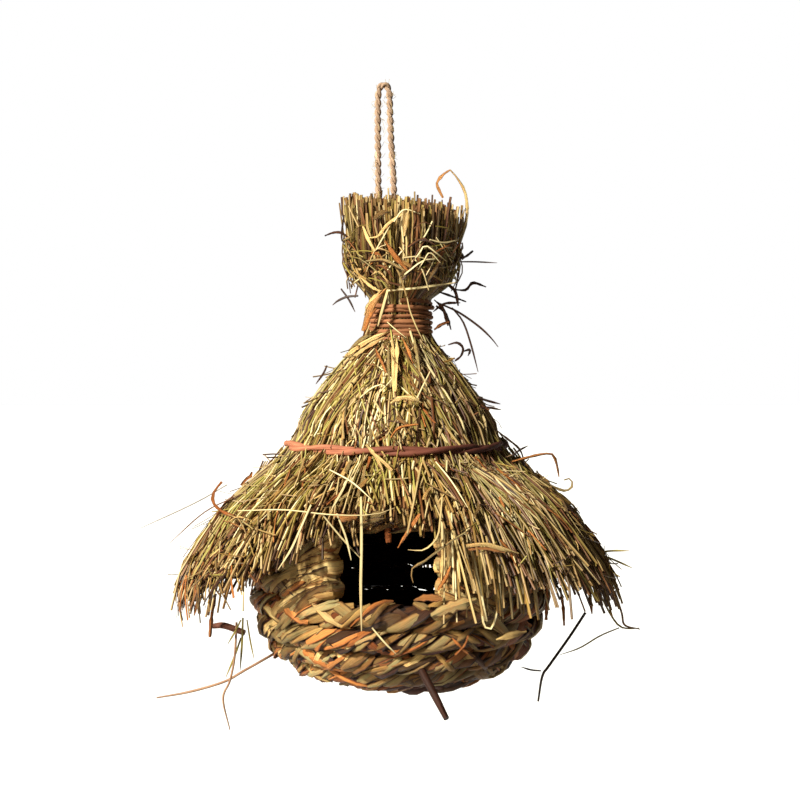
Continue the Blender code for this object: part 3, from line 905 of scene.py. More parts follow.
class NEST_OT_brush(bpy.types.Operator):
    """Flare the cut straw of the brush above the binding"""

    bl_idname = "nest.brush"
    bl_label = "Straw Brush"

    def execute(self, context):
        straw = context.scene.nest_straw
        rng = np.random.default_rng(11)
        levels = len(BRUSH_LINE)
        template = stem_template(levels, 5)
        count = straw.brush_stems
        share = np.sqrt((np.arange(count) + 0.5) / count)
        angle = np.arange(count) * GOLDEN_ANGLE + rng.normal(0.0, 0.15, count)
        neck = (BINDING_R - BRUSH_INSET) * share
        top = (TUFT_HIGH[0] - TUFT_LOW[0]) / 2 * BRUSH_FILL * share * rng.uniform(0.93, 1.05, count)
        level = TUFT_HIGH[2] - 4.5 * MM - BRUSH_TILT * top * np.cos(angle)
        heights = level + rng.normal(0.0, 1.8 * MM, count)
        heights -= rng.uniform(0.0, 6.0 * MM, count) * (share > 0.8)
        lean = rng.normal(0.0, 2.2 * MM, (count, 2))
        curl = rng.normal(0.0, 0.8 * MM, (count, 2))
        paths = np.zeros((count, levels, 3))
        for index, (rise, flare) in enumerate(BRUSH_LINE):
            radius = neck + (top - neck) * flare
            wander = lean * flare * max(rise, 0.0) + curl * flare * math.sin(rise * 9.0)
            paths[:, index, 0] = AXIS_X + BRUSH_SHIFT * flare + radius * np.cos(angle) + wander[:, 0]
            paths[:, index, 1] = radius * np.sin(angle) + wander[:, 1]
            paths[:, index, 2] = BINDING_HIGH + (heights - BINDING_HIGH) * rise
        thick = straw.thickness / 2 * rng.uniform(0.6, 1.6, count)
        up = np.array([0.3, -1.0, 0.1])
        degrees = np.degrees(angle) + 90.0
        tone = stem_tones(rng, degrees) * 0.92
        light = np.clip(rng.normal(0.55, 0.30, count), 0.02, 1.0)
        runs = Runs(levels)
        runs.add(paths, up, thick, thick, np.zeros(count), tone, light)
        brush = lay_copies("brush_straw", template, runs, straw_finish("brush_straw", straw))
        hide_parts("straw_tuft")
        return {"FINISHED"}


class NEST_OT_binding(bpy.types.Operator):
    """Wind the vine round the neck"""

    bl_idname = "nest.binding"
    bl_label = "Neck Binding"

    def execute(self, context):
        turns = 8
        levels = 321
        template = stem_template(levels, 10)
        rng = np.random.default_rng(5)
        share = np.linspace(0.0, 1.0, levels)
        angle = front_angle(0.0) + share * turns * 2 * math.pi
        wire = 1.12 * MM
        middle = BINDING_R - wire - 0.2 * MM
        wave = np.interp(share, np.linspace(0, 1, 60), rng.normal(0.0, 0.5, 60)) * MM
        low = BINDING_LOW + wire
        high = BINDING_HIGH - wire
        path = np.stack([
            AXIS_X + (middle + wave) * np.cos(angle),
            (middle + wave) * np.sin(angle),
            high - share * (high - low) + np.roll(wave, 9) * 0.9,
        ], axis=1)
        runs = Runs(levels)
        swell = wire * (1.0 + 0.12 * np.interp(share, np.linspace(0, 1, 90), rng.normal(0.0, 1.0, 90)))
        runs.add(path[None], np.array([0.0, 0.0, 1.0]), swell[None], swell[None], np.zeros(1), 0.2, 0.5)
        material = bark_finish("binding_vine", (0.045, 0.015, 0.007), (0.40, 0.17, 0.075))
        binding = lay_copies("neck_binding_vine", template, runs, material)
        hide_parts("neck_binding")
        return {"FINISHED"}


class NEST_OT_roof(bpy.types.Operator):
    """Lay the straw of the roof in layers from the neck to the eave"""

    bl_idname = "nest.roof"
    bl_label = "Thatched Roof"

    def execute(self, context):
        straw = context.scene.nest_straw
        rng = np.random.default_rng(23)
        # The inner straw is coloured near black as painted shade in the gaps between stems.
        core = roof_core(core_finish("inner_straw", (0.020, 0.009, 0.002), (0.10, 0.052, 0.015)))
        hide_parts(*nodes_named("thatch_bundle"))
        levels = 9
        template = stem_template(levels, 6)
        material = straw_finish("roof_straw", straw)
        # The light of a layer is painted shade: low for the deep stems and higher for those on top.
        layers = [
            # name, share of the long stems, start, end, lift in mm, drift, sway, clumps, light
            ("roof_straw_deep", 0.60, (0.08, 0.45), (0.92, 1.03), (-5.2, -3.0), 0.14, 0.010, 130, 0.16),
            ("roof_straw_middle", 0.62, (0.02, 0.34), (0.86, 1.04), (-3.8, -1.4), 0.18, 0.014, 95, 0.40),
            ("roof_straw_neck", 0.26, (0.01, 0.05), (0.42, 0.95), (-2.0, 0.0), 0.15, 0.014, 60, 0.46),
            ("roof_straw_top", 0.44, (0.03, 0.40), (0.80, 1.04), (-1.8, 0.5), 0.23, 0.020, 75, 0.60),
        ]
        for name, share, start, end, lift, drift, sway, clumps, light in layers:
            count = int(straw.roof_stems * share)
            lifts = (lift[0] * MM, lift[1] * MM)
            paths, ups, degrees = roof_paths(
                rng, count, levels, start, end, lifts, drift, sway, clumps
            )
            thick = straw.thickness / 2 * rng.uniform(0.70, 1.20, count)
            tone = stem_tones(rng, degrees)
            runs = Runs(levels)
            shade = np.clip(rng.normal(light, 0.27, count), 0.0, 1.0)
            runs.add(paths, ups, thick, thick, np.zeros(count), tone, shade)
            lay_copies(name, template, runs, material)
        self.add_short(straw, rng, material)
        return {"FINISHED"}

    def add_short(self, straw, rng, material):
        """Broken stems, thinner and at wider angles, over the long ones."""
        levels = 5
        template = stem_template(levels, 5)
        count = straw.short_stems
        paths, ups, degrees = roof_paths(
            rng, count, levels, (0.05, 0.80), (0.80, 1.03), (-1.4 * MM, 1.3 * MM), 0.32, 0.03, 400
        )
        middle = paths[:, levels // 2:levels // 2 + 1]
        size = np.linalg.norm(paths[:, -1] - paths[:, 0], axis=1)
        wanted = rng.uniform(9.0, 36.0, count) * MM
        paths = middle + (paths - middle) * np.minimum(1.0, wanted / size)[:, None, None]
        thick = straw.thickness / 2 * rng.uniform(0.40, 0.95, count)
        runs = Runs(levels)
        tone = stem_tones(rng, degrees)
        light = np.clip(rng.normal(0.6, 0.25, count), 0.0, 1.0)
        runs.add(paths, ups, thick, thick, np.zeros(count), tone, light)
        lay_copies("roof_straw_broken", template, runs, material)


class NEST_OT_hoop(bpy.types.Operator):
    """Twist the two vines of the hoop round the roof"""

    bl_idname = "nest.hoop"
    bl_label = "Roof Hoop"

    def execute(self, context):
        levels = 361
        template = stem_template(levels, 9)
        rng = np.random.default_rng(7)
        share = np.linspace(0.0, 1.0, levels)
        angle = share * 2 * math.pi + math.radians(90.0)
        middle = float(HOOP_HIGH[0] - HOOP_LOW[0]) / 2 - 2.3 * MM
        # Painted light and shade along the hoop: bright on the left, where the sun falls, and near black on
        # the front right, in shade.
        painted_light_stops = [
            (0.0, (0.45, 0.42, 0.45)), (0.22, (0.55, 0.5, 0.5)), (0.28, (1.0, 1.0, 1.0)),
            (0.42, (0.95, 0.9, 0.9)),
            (0.47, (0.50, 0.44, 0.48)), (0.54, (0.30, 0.25, 0.29)), (0.63, (0.13, 0.10, 0.13)),
            (1.0, (0.30, 0.28, 0.30)),
        ]
        material = bark_finish("hoop_vine", (0.08, 0.024, 0.014), (0.56, 0.22, 0.12), painted_light_stops)
        for letter, phase in (("a", 0.0), ("b", math.pi)):
            twist = 5 * angle + phase
            knots = rng.normal(0.0, 1.0, 72)
            knots[-1] = knots[0]
            swell = 1.45 * MM * (1.0 + 0.12 * np.interp(share, np.linspace(0, 1, 72), knots))
            radius = middle + 1.15 * MM * np.cos(twist)
            path = np.stack([
                AXIS_X + SIDEWAYS + radius * np.cos(angle),
                radius * np.sin(angle),
                HOOP_Z + 1.15 * MM * np.sin(twist),
            ], axis=1)
            runs = Runs(levels)
            runs.add(path[None], np.array([0.0, 0.0, 1.0]), swell[None], swell[None], np.zeros(1), 0.25, 0.5)
            vine = lay_copies("roof_hoop_vine_" + letter, template, runs, material)
            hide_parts("roof_hoop_strand_" + letter)
        return {"FINISHED"}


class NEST_OT_ball(bpy.types.Operator):
    """Wind the leaf rope of the ball, row by row"""

    bl_idname = "nest.ball"
    bl_label = "Leaf Rope Ball"

    def execute(self, context):
        rope = context.scene.nest_rope
        rng = np.random.default_rng(31)
        material = leaf_finish("rope_leaf", rope)
        # A copy of the leaf finish at 0.30 of its light, as painted shade on the plies, the cores of the
        # rows and the end coils.
        inner = leaf_finish("rope_inner_shaded", rope, 0.30)
        rows = [self.read_row(name) for name in nodes_named("woven_row")]
        self.add_plies(rows, rng, inner)
        self.add_leaves(rows, rope, rng, material)
        self.add_ends(rng, inner)
        return {"FINISHED"}

    @staticmethod
    def read_row(name):
        """Middle radius, height and rope radius of a row, and the gap in its front if it has one."""
        low, high = node_box(name)
        rope_r = float(high[2] - low[2]) / 2 / math.cos(math.pi / 6)
        radius = float(high[0] - low[0]) / 2 - rope_r
        open_front = float(low[1]) > -(radius + rope_r) * 0.97
        middle = float(low[2] + high[2]) / 2
        return {"radius": radius, "z": middle, "rope": rope_r, "open": open_front}

    @staticmethod
    def row_angles(row):
        """Where the row starts and ends, in degrees from the front."""
        if not row["open"]:
            return 0.0, 360.0
        jamb_right = node_box("jamb_wrap_right")
        jamb_left = node_box("jamb_wrap_left")
        right = math.degrees(math.asin((jamb_right[1][0] - AXIS_X) / row["radius"]))
        left = math.degrees(math.asin((jamb_left[0][0] - AXIS_X) / row["radius"]))
        return right, 360.0 + left

    def add_plies(self, rows, rng, material):
        levels = 97
        template = stem_template(levels, 8)
        runs = Runs(levels)
        for row in rows:
            start, end = self.row_angles(row)
            share = np.linspace(0.0, 1.0, levels)
            angle = np.radians(start + (end - start) * share - 90.0)
            twists = max(3, round(row["radius"] * 2 * math.pi / (34 * MM)))
            for phase in (0.0, math.pi):
                twist = twists * 2 * math.pi * share + phase
                offset = row["rope"] * 0.40
                radius = row["radius"] + offset * np.cos(twist)
                path = np.stack([
                    AXIS_X + radius * np.cos(angle),
                    radius * np.sin(angle),
                    row["z"] + offset * np.sin(twist),
                ], axis=1)
                swell = np.full((1, levels), row["rope"] * 0.52)
                tone = rng.uniform(0.1, 0.6)
                runs.add(path[None], np.array([0.0, 0.0, 1.0]), swell, swell, np.zeros(1), tone, 0.4)
            # The core of each row, dark by its tone and light as painted shade between the leaves.
            angle = np.radians(start + (end - start) * share - 90.0)
            ring = np.stack([np.cos(angle), np.sin(angle), np.full(levels, row["z"])], axis=1)
            ring[:, :2] *= row["radius"]
            ring[:, 0] += AXIS_X
            swell = np.full((1, levels), row["rope"] * 0.84)
            runs.add(ring[None], np.array([0.0, 0.0, 1.0]), swell, swell, np.zeros(1), 0.1, 0.2)
        plies = lay_copies("ball_rope_plies", template, runs, material)
        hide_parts(*nodes_named("woven_row"))

    def add_leaves(self, rows, rope, rng, material):
        """Creased leaves laid round each row: a wide layer, a narrower one over it and loose slips."""
        levels = 6
        template = strip_template(levels, 3)
        share = np.linspace(0.0, 1.0, levels)
        layers = (("under", 0.85, 0.88, 1.6), ("over", 0.62, 1.05, 1.2), ("loose", 0.50, 1.14, 2.6))
        for layer, size, swell_by, spacing in layers:
            runs = Runs(levels)
            for row in rows[:13]:
                start, end = self.row_angles(row)
                outer = row["radius"] + row["rope"]
                count = int(math.radians(end - start) * outer / (rope.leaf_spacing * spacing))
                for index in range(count):
                    length = rope.leaf_length * rng.uniform(0.55, 1.35)
                    at = start + (end - start) * (index + rng.uniform(-0.5, 0.5)) / count
                    span = math.degrees(length / outer)
                    if row["open"]:
                        at = min(max(at, start), end - span)
                    angle = np.radians(at + span * share - 90.0)
                    roll_from = rng.uniform(-95, -25)
                    roll_by = rng.uniform(70, 150)
                    if rng.uniform() < 0.16:
                        roll_from, roll_by = -roll_from, -roll_by
                    roll = np.radians(roll_from + roll_by * share)
                    swell = row["rope"] * (swell_by + rng.uniform(0.0, 0.22) * np.sin(share * math.pi))
                    radius = row["radius"] + swell * np.cos(roll)
                    path = np.stack([
                        AXIS_X + radius * np.cos(angle), radius * np.sin(angle),
                        row["z"] + swell * np.sin(roll),
                    ], axis=1)
                    lean = roll + rng.normal(0.15, 0.34 + 0.2 * (layer == "loose"))
                    up = np.stack([
                        np.cos(lean) * np.cos(angle), np.cos(lean) * np.sin(angle), np.sin(lean),
                    ], axis=1)
                    wide = rope.leaf_width / 2 * size * rng.uniform(0.45, 1.2)
                    taper = np.interp(share, [0.0, 0.25, 0.8, 1.0], [0.45, 1.0, 0.95, rng.uniform(0.2, 0.8)])
                    taper = taper * rng.uniform(0.65, 1.15, levels)
                    # Lower rows get a browner tone and less light, partly the rust of their leaves and
                    # partly painted shade under the ball, and leaves away from the sun get a browner tone as
                    # painted shade.
                    low_row = 1.0 if row["z"] < rows[3]["z"] else 0.0
                    tone = rng.normal(0.66, 0.18) - 0.22 * low_row - 0.14 * (1 - sun_side(at))
                    # Painted sunlight: leaves on the left, towards the sun, get more light and paler or
                    # orange tones, and the under layer gets less light as painted shade.
                    left = (at + 180.0) % 360.0 - 180.0
                    sunny = -110 < left < -38
                    bright = (0.88 if sunny else 0.50) - 0.30 * low_row
                    if rng.uniform() < (0.40 if sunny else 0.10) + 0.32 * low_row:
                        tone = rng.uniform(0.2, 0.4)
                    elif sunny:
                        tone = rng.uniform(0.5, 1.0)
                    runs.add(
                        path[None], up[None], (wide * taper)[None], np.array([0.15 * MM]),
                        np.array([rng.uniform(0.1, 1.5) * MM]), np.clip(tone, 0.02, 1.0),
                        np.clip(rng.normal(bright - 0.46 * (layer == "under"), 0.29), 0.02, 1.0),
                    )
            lay_copies("ball_rope_leaves_" + layer, template, runs, material)

    def add_ends(self, rng, material):
        """The start of the rope at the bottom and its end at the top, as small spirals."""
        levels = 49
        template = stem_template(levels, 8)
        share = np.linspace(0.0, 1.0, levels)
        for node in ("woven_base", "dome_crown"):
            low, high = node_box(node)
            half = float(high[2] - low[2]) / 2
            reach = float(high[0] - low[0]) / 2 - half
            turn = share * 2 * math.pi * 1.4
            radius = 1.0 * MM + reach * share
            height = np.full(levels, float(low[2] + high[2]) / 2)
            path = np.stack([AXIS_X + radius * np.cos(turn), radius * np.sin(turn), height], axis=1)
            runs = Runs(levels)
            thick = np.full((1, levels), half)
            tone = rng.uniform(0.2, 0.6)
            runs.add(path[None], np.array([0.0, 0.0, 1.0]), thick, thick, np.zeros(1), tone, 0.7)
            piece = lay_copies(node + "_coil", template, runs, material)
            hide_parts(node)


BULGES = 3
FOLDS_PER_BULGE = 24
WALL_R = 67.0 * MM


class NEST_OT_entrance(bpy.types.Operator):
    """Fold the leaves round the two sides of the entrance"""

    bl_idname = "nest.entrance"
    bl_label = "Entrance"

    def execute(self, context):
        rope = context.scene.nest_rope
        rng = np.random.default_rng(41)
        material = leaf_finish("entrance_leaf", rope)
        levels = 9
        template = strip_template(levels, 2)
        for side, sign in (("left", -1.0), ("right", 1.0)):
            low, high = node_box("jamb_wrap_" + side)
            edge = float(high[0] if sign < 0 else low[0]) - AXIS_X
            runs = Runs(levels)
            for bulge in range(BULGES):
                middle = float(low[2]) + (bulge + 0.5) / BULGES * float(high[2] - low[2])
                for _ in range(FOLDS_PER_BULGE):
                    offset = rng.uniform(-1.0, 1.0)
                    points, ups = self.fold_path(edge, sign, middle, offset, rng)
                    # The left side, towards the sun, gets paler tones as painted sunlight.
                    runs.add_one(
                        points, ups, rng.uniform(1.6, 4.2) * MM, 0.16 * MM, crown=rng.uniform(0.1, 1.2) * MM,
                        tone=float(np.clip(rng.normal(0.84 if sign < 0 else 0.74, 0.22), 0.1, 1.0)),
                        light=rng.uniform(0.45, 1.15), taper=(0.4, 0.6),
                    )
            piece = lay_copies("entrance_fold_" + side, template, runs, material)
            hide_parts("jamb_wrap_" + side)
        return {"FINISHED"}

    @staticmethod
    def fold_path(edge, sign, middle, offset, rng):
        """Points and outward directions of a leaf that turns in round the side of the entrance."""
        thick = 6.0 * MM * (1.0 - 0.45 * offset**2) + rng.uniform(0.0, 1.2) * MM
        edge_angle = -math.pi / 2 + math.asin((edge + sign * (5.4 + rng.uniform(-0.8, 1.8)) * MM) / WALL_R)
        reach = rng.uniform(10.0, 27.0) * MM
        rise = rng.uniform(0.3, 1.0)
        points = []
        ups = []
        for back, turn in ((1.0, 0.0), (0.6, 0.0), (0.25, 0.0), (0.0, 20.0), (0.0, 60.0), (0.0, 100.0),
                           (0.0, 150.0), (0.2, 180.0)):
            angle = edge_angle + sign * back * reach / WALL_R
            radial = np.array([math.cos(angle), math.sin(angle), 0.0])
            along = np.array([math.sin(angle), -math.cos(angle), 0.0]) * sign
            turned = math.radians(turn)
            out = radial * math.cos(turned) + along * math.sin(turned)
            drop = -rise * back * reach - 0.03 * thick * turned
            height = middle + offset * 4.6 * MM + drop
            points.append(np.array([AXIS_X, 0.0, height]) + radial * WALL_R + out * thick)
            ups.append(out + np.array([0.0, 0.0, 0.35 * offset]))
        return np.array(points), np.array(ups)


class NEST_OT_sticks(bpy.types.Operator):
    """Place the perch, the peg and the loose sticks and stems"""

    bl_idname = "nest.sticks"
    bl_label = "Sticks and Loose Stems"

    def execute(self, context):
        bark = bark_finish("stick_bark", (0.03, 0.010, 0.007), (0.20, 0.075, 0.045))
        perch_bark = bark_finish("perch_bark", (0.004, 0.0015, 0.0008), (0.036, 0.010, 0.004))
        dark_bark = bark_finish("twig_bark", (0.015, 0.010, 0.009), (0.07, 0.05, 0.045))
        stem = bark_finish("dry_stem", (0.14, 0.06, 0.035), (0.46, 0.28, 0.17))
        grey = bark_finish("grey_wisp", (0.16, 0.13, 0.11), (0.42, 0.38, 0.33))
        pieces = [
            # name, node, radius, route from the axis in mm, material, slot, end tapers
            ("perch_stick_bark", "perch_stick", 1.85,
             [(4.0, -50.0, -268.5), (9.0, -61.0, -277.5), (15.0, -70.0, -287.5), (21.5, -78.0, -299.0)],
             perch_bark, "bark", (1.0, 0.72)),
            ("eave_stick_bark", "eave_stick", 1.6,
             [(-92.0, -20.0, -265.5), (-86.0, -22.0, -265.0), (-76.0, -25.0, -268.0)],
             bark, "bark", (0.8, 0.9)),
            ("eave_twig_bark", "eave_twig", 0.7,
             [(92.0, -12.0, -260.0), (84.0, -13.0, -272.0), (74.0, -14.0, -286.0), (70.5, -14.0, -291.5),
              (68.5, -14.0, -304.0)], dark_bark, "bark", (1.0, 0.7)),
            ("wisp_left", "stray_wisp_left", 0.3,
             [(-86.0, -6.0, -197.0), (-102.0, -8.0, -206.0), (-129.0, -8.0, -218.5)],
             grey, "dry_stem", (1.0, 0.4)),
            ("long_stem_left", "stray_stem_left", 0.65,
             [(-62.0, -14.0, -280.0), (-78.0, -15.0, -289.0), (-87.0, -15.0, -294.0),
              (-104.0, -15.0, -299.0), (-120.5, -15.0, -302.0)], stem, "dry_stem", (1.0, 0.6)),
            ("hanging_stem", "hanging_stem_left", 0.55,
             [(-79.5, -30.0, -262.0), (-80.5, -30.0, -279.0), (-83.0, -29.0, -291.0), (-86.5, -27.0, -300.0),
              (-83.5, -24.0, -316.0)], stem, "dry_stem", (1.0, 0.5)),
            ("long_stem_right", "stray_stem_right", 0.55,
             [(107.0, -6.0, -250.0), (110.5, -7.0, -261.0), (112.0, -8.0, -267.0), (119.5, -8.0, -269.0)],
             stem, "dry_stem", (1.0, 0.5)),
        ]
        levels = 25
        for name, node, radius, route, material, slot, taper in pieces:
            template = stem_template(levels, 8)
            points = np.array(route) * MM
            points[:, 0] += AXIS_X
            runs = Runs(levels)
            runs.add_one(points, (0.1, -1.0, 0.1), radius * MM, radius * MM, tone=0.1, taper=taper)
            piece = lay_copies(name, template, runs, material)
            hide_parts(node)
        self.add_peg(bark_finish("peg_wood", (0.35, 0.08, 0.03), (0.80, 0.24, 0.09)))
        return {"FINISHED"}

    def add_peg(self, material):
        low, high = node_box("rim_peg")
        levels = 7
        template = stem_template(levels, 9)
        middle = (low + high) / 2
        points = [
            (middle[0], middle[1] + 1.0 * MM, high[2] + 5 * MM), (middle[0], middle[1], middle[2]),
            (middle[0] + 0.3 * MM, middle[1] - 0.4 * MM, low[2]),
        ]
        runs = Runs(levels)
        radius = float(high[0] - low[0]) / 2
        runs.add_one(points, (0.1, -1.0, 0.1), radius, radius, tone=0.9, taper=(1.0, 0.85))
        peg = lay_copies("rim_peg_wood", template, runs, material)
        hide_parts("rim_peg")


LOOSE_STRAWS = [
    # radius in mm, tone, light, route from the axis in mm
    (0.8, 0.72, 0.9, [(-6.4, -19, -100.9), (9.7, -21, -99.4), (26.9, -17, -96.9)]),
    (0.8, 0.72, 0.9, [(-5.9, -19, -100.4), (-8.3, -21, -109.2), (-10.8, -19, -118)]),
    (0.42, 0.9, 0.95, [(5.8, -28, -87), (9.2, -30, -83.2), (12.1, -30, -79.3), (17.4, -29, -82.7),
     (22.8, -24, -86.9)]),
    (0.36, 0.85, 0.9, [(8.7, -27, -90.8), (11.6, -29, -86.5), (14.5, -29, -82.6), (19.4, -27, -87.4)]),
    (0.5, 0.8, 0.8, [(14.5, -26, -76.3), (21.4, -22, -77.6), (28.5, -14, -75.8)]),
    (0.38, 0.75, 0.8, [(-75.1, -70, -203.5), (-52.5, -84, -201.6), (-31.7, -92, -203),
     (-12.7, -92, -203), (-2.3, -90, -200.1)]),
    (0.75, 0.85, 0.8, [(-17.7, -88, -195.3), (-17.5, -86, -215.1), (-17.9, -83, -238.4),
     (-17.7, -80, -257.8)]),
    (0.5, 0.8, 0.8, [(-35.4, -90, -202.8), (-27.3, -87, -213.2), (-18.3, -84, -223.6)]),
    (0.55, 0.9, 0.9, [(-28.6, -90, -202.8), (-24.5, -88, -213.9), (-22.3, -86, -224.3)]),
    (0.5, 0.7, 0.8, [(19.1, -88, -195.3), (18.2, -88, -206.6), (16.8, -87, -214.1), (11, -85, -219.8),
     (3.7, -84, -219.9)]),
    (0.6, 0.8, 0.85, [(-40.3, -90, -198.7), (-45.3, -90, -210.1), (-49.6, -88, -219.4),
     (-55.6, -86, -228.8)]),
    (0.6, 0.85, 0.8, [(37.1, -72, -243.8), (38, -73, -251.1), (39.4, -72, -257.3), (42.7, -72, -257.8),
     (45, -72, -250.3), (46, -70, -245)]),
    (0.5, 0.85, 0.85, [(-12.9, -77, -256.9), (-7.4, -77, -263.4), (-1.9, -75, -269.4)]),
    (0.5, 0.3, 0.6, [(98.3, -10, -249), (103.9, -10, -260), (108.9, -10, -267), (114.3, -10, -268.5),
     (118.8, -10, -268)]),
    (0.4, 0.35, 0.6, [(108.9, -10, -268), (99.2, -12, -271.7), (89.1, -14, -277.3), (79.1, -16, -280.4)]),
    (0.5, 0.5, 0.7, [(97.3, -10, -230.6), (105.4, -8, -229.8), (113.9, -8, -229.8)]),
    (0.5, 0.4, 0.6, [(101.2, -10, -232.1), (106.4, -8, -234.3), (115.4, -8, -238.3)]),
    (0.55, 0.4, 0.7, [(-76.4, -30, -259.8), (-77.1, -28, -273.4), (-78.2, -26, -286)]),
    (0.45, 0.45, 0.7, [(-77.2, -32, -260.5), (-80.1, -32, -266.3), (-83.7, -30, -272.5)]),
    (0.5, 0.42, 0.75, [(-77.5, -28, -269.9), (-81, -28, -279.8), (-85, -27, -289.3)]),
    (0.4, 0.45, 0.7, [(-74.4, -30, -260.8), (-73.1, -28, -270.9), (-71.2, -28, -280.3)]),
    (0.3, 0.1, 0.6, [(-78.4, -20, -200.7), (-95.6, -20, -209.1), (-113.1, -18, -224.6)]),
    (0.4, 0.7, 0.85, [(3.4, -18.4, -103.8), (4.9, -18.4, -110.6), (7.8, -17.4, -118),
     (11.3, -15.9, -125.4)]),
    (0.35, 0.75, 0.85, [(-6.4, -18.1, -116), (-2, -18.8, -119.9), (2.9, -18.6, -123.8)]),
    (0.35, 0.4, 0.8, [(-26.6, -9.6, -75.6), (-26.9, -5.5, -86.2), (-23.7, -8.3, -93.3)]),
    (0.45, 0.9, 0.95, [(-2.9, -30.2, -67.8), (1.9, -30.6, -62.1), (9.6, -28.8, -63.9)]),
    (0.4, 0.85, 0.9, [(-11.6, -26.3, -81.2), (-7.7, -28.7, -74.5), (-4.8, -29.8, -69.7)]),
    (0.4, 0.9, 0.9, [(16.5, -25, -65.6), (12.6, -26.8, -73.5), (8.7, -27.8, -79.3)]),
    (0.45, 0.85, 0.9, [(-19.2, -37.8, -152.3), (-13.4, -37.2, -147.6), (-7.7, -37.5, -145.6)]),
    (0.4, 0.8, 0.9, [(-1, -34.1, -140), (-5.7, -37.9, -145.6), (-11.5, -40.8, -151.3)]),
    (0.4, 0.9, 0.9, [(14.5, -30.5, -140.1), (9.6, -39.9, -149.4), (5.7, -45.9, -157.7)]),
    (0.45, 0.85, 0.9, [(-33, -56.2, -185.6), (-22.3, -70.3, -190.1), (-12.8, -83.6, -197.1)]),
    (0.4, 0.9, 0.9, [(-22.5, -62, -185.1), (-26.8, -74.9, -194.3), (-32, -83.2, -202.7)]),
    (0.4, 0.9, 0.9, [(16.9, -58.2, -181.7), (24.1, -69.5, -190.1), (31.1, -82.1, -201)]),
]

DARK_WISPS = [
    # radius in mm, tone, light, route from the axis in mm
    (0.7, 0.02, 0.2, [(-25.2, -8, -74.6), (-29.1, -8, -72.1), (-33.1, -6, -72), (-37.2, -4, -73.4)]),
    (0.5, 0.02, 0.2, [(-27.6, -8, -63.3), (-28.6, -8, -70.7), (-28.6, -8, -76.1), (-26.2, -8, -77.1)]),
    (0.6, 0.03, 0.2, [(-20.7, -10, -103.2), (-26.2, -8, -103.7), (-30.7, -6, -105.6), (-33.3, -4, -107.6)]),
    (0.5, 0.03, 0.2, [(-29.2, -6, -99.7), (-25.2, -8, -105.2), (-22.2, -10, -111.1)]),
    (0.55, 0.03, 0.3, [(19.8, -8, -107.1), (28.7, -6, -111.1), (38.8, -4, -118), (45.3, -2, -124),
     (48.9, 0, -128.5)]),
    (0.5, 0.03, 0.3, [(25.8, -6, -109.1), (31.3, -4, -116), (35.4, -2, -127.5), (39, 0, -141)]),
    (0.4, 0.05, 0.4, [(27.7, -8, -86.4), (37.2, -4, -86.3), (48.3, 0, -86.7)]),
    (0.9, 0.03, 0.2, [(27.7, -8, -84.9), (32.2, -6, -83.9), (36.2, -4, -80.9)]),
    (0.8, 0.03, 0.2, [(27.7, -8, -100.2), (32.7, -6, -100.2), (36.2, -4, -96.7), (42.8, -2, -98.7)]),
    (0.8, 0.03, 0.2, [(23.8, -8, -127.4), (28.3, -6, -126.4), (31.3, -4, -129), (30.4, -2, -133),
     (27.4, -2, -135.5)]),
    (0.7, 0.03, 0.2, [(30.8, -4, -130.9), (34.9, -2, -130), (33.9, -2, -133)]),
    (0.6, 0.05, 0.3, [(38.2, -20, -153.1), (43.2, -16, -154.8), (49.3, -12, -156.5)]),
    (0.6, 0.05, 0.3, [(39.1, -20, -158), (44.2, -16, -158.2), (49.8, -12, -159.4)]),
    (0.5, 0.05, 0.3, [(-36.1, -10, -137.7), (-38.1, -8, -141.8), (-41.7, -6, -146.8)]),
    (0.7, 0.01, 0.15, [(46.8, -24, -168.6), (51.8, -22, -172.6), (58.9, -18, -178.8), (61.5, -16, -186.8)]),
    (0.5, 0.01, 0.15, [(55, -18, -181.7), (58.9, -18, -178.8), (63, -16, -176.9)]),
    (0.45, 0.01, 0.2, [(69.9, -14, -288.8), (64.9, -14, -288.3), (60.1, -12, -287.2)]),
]

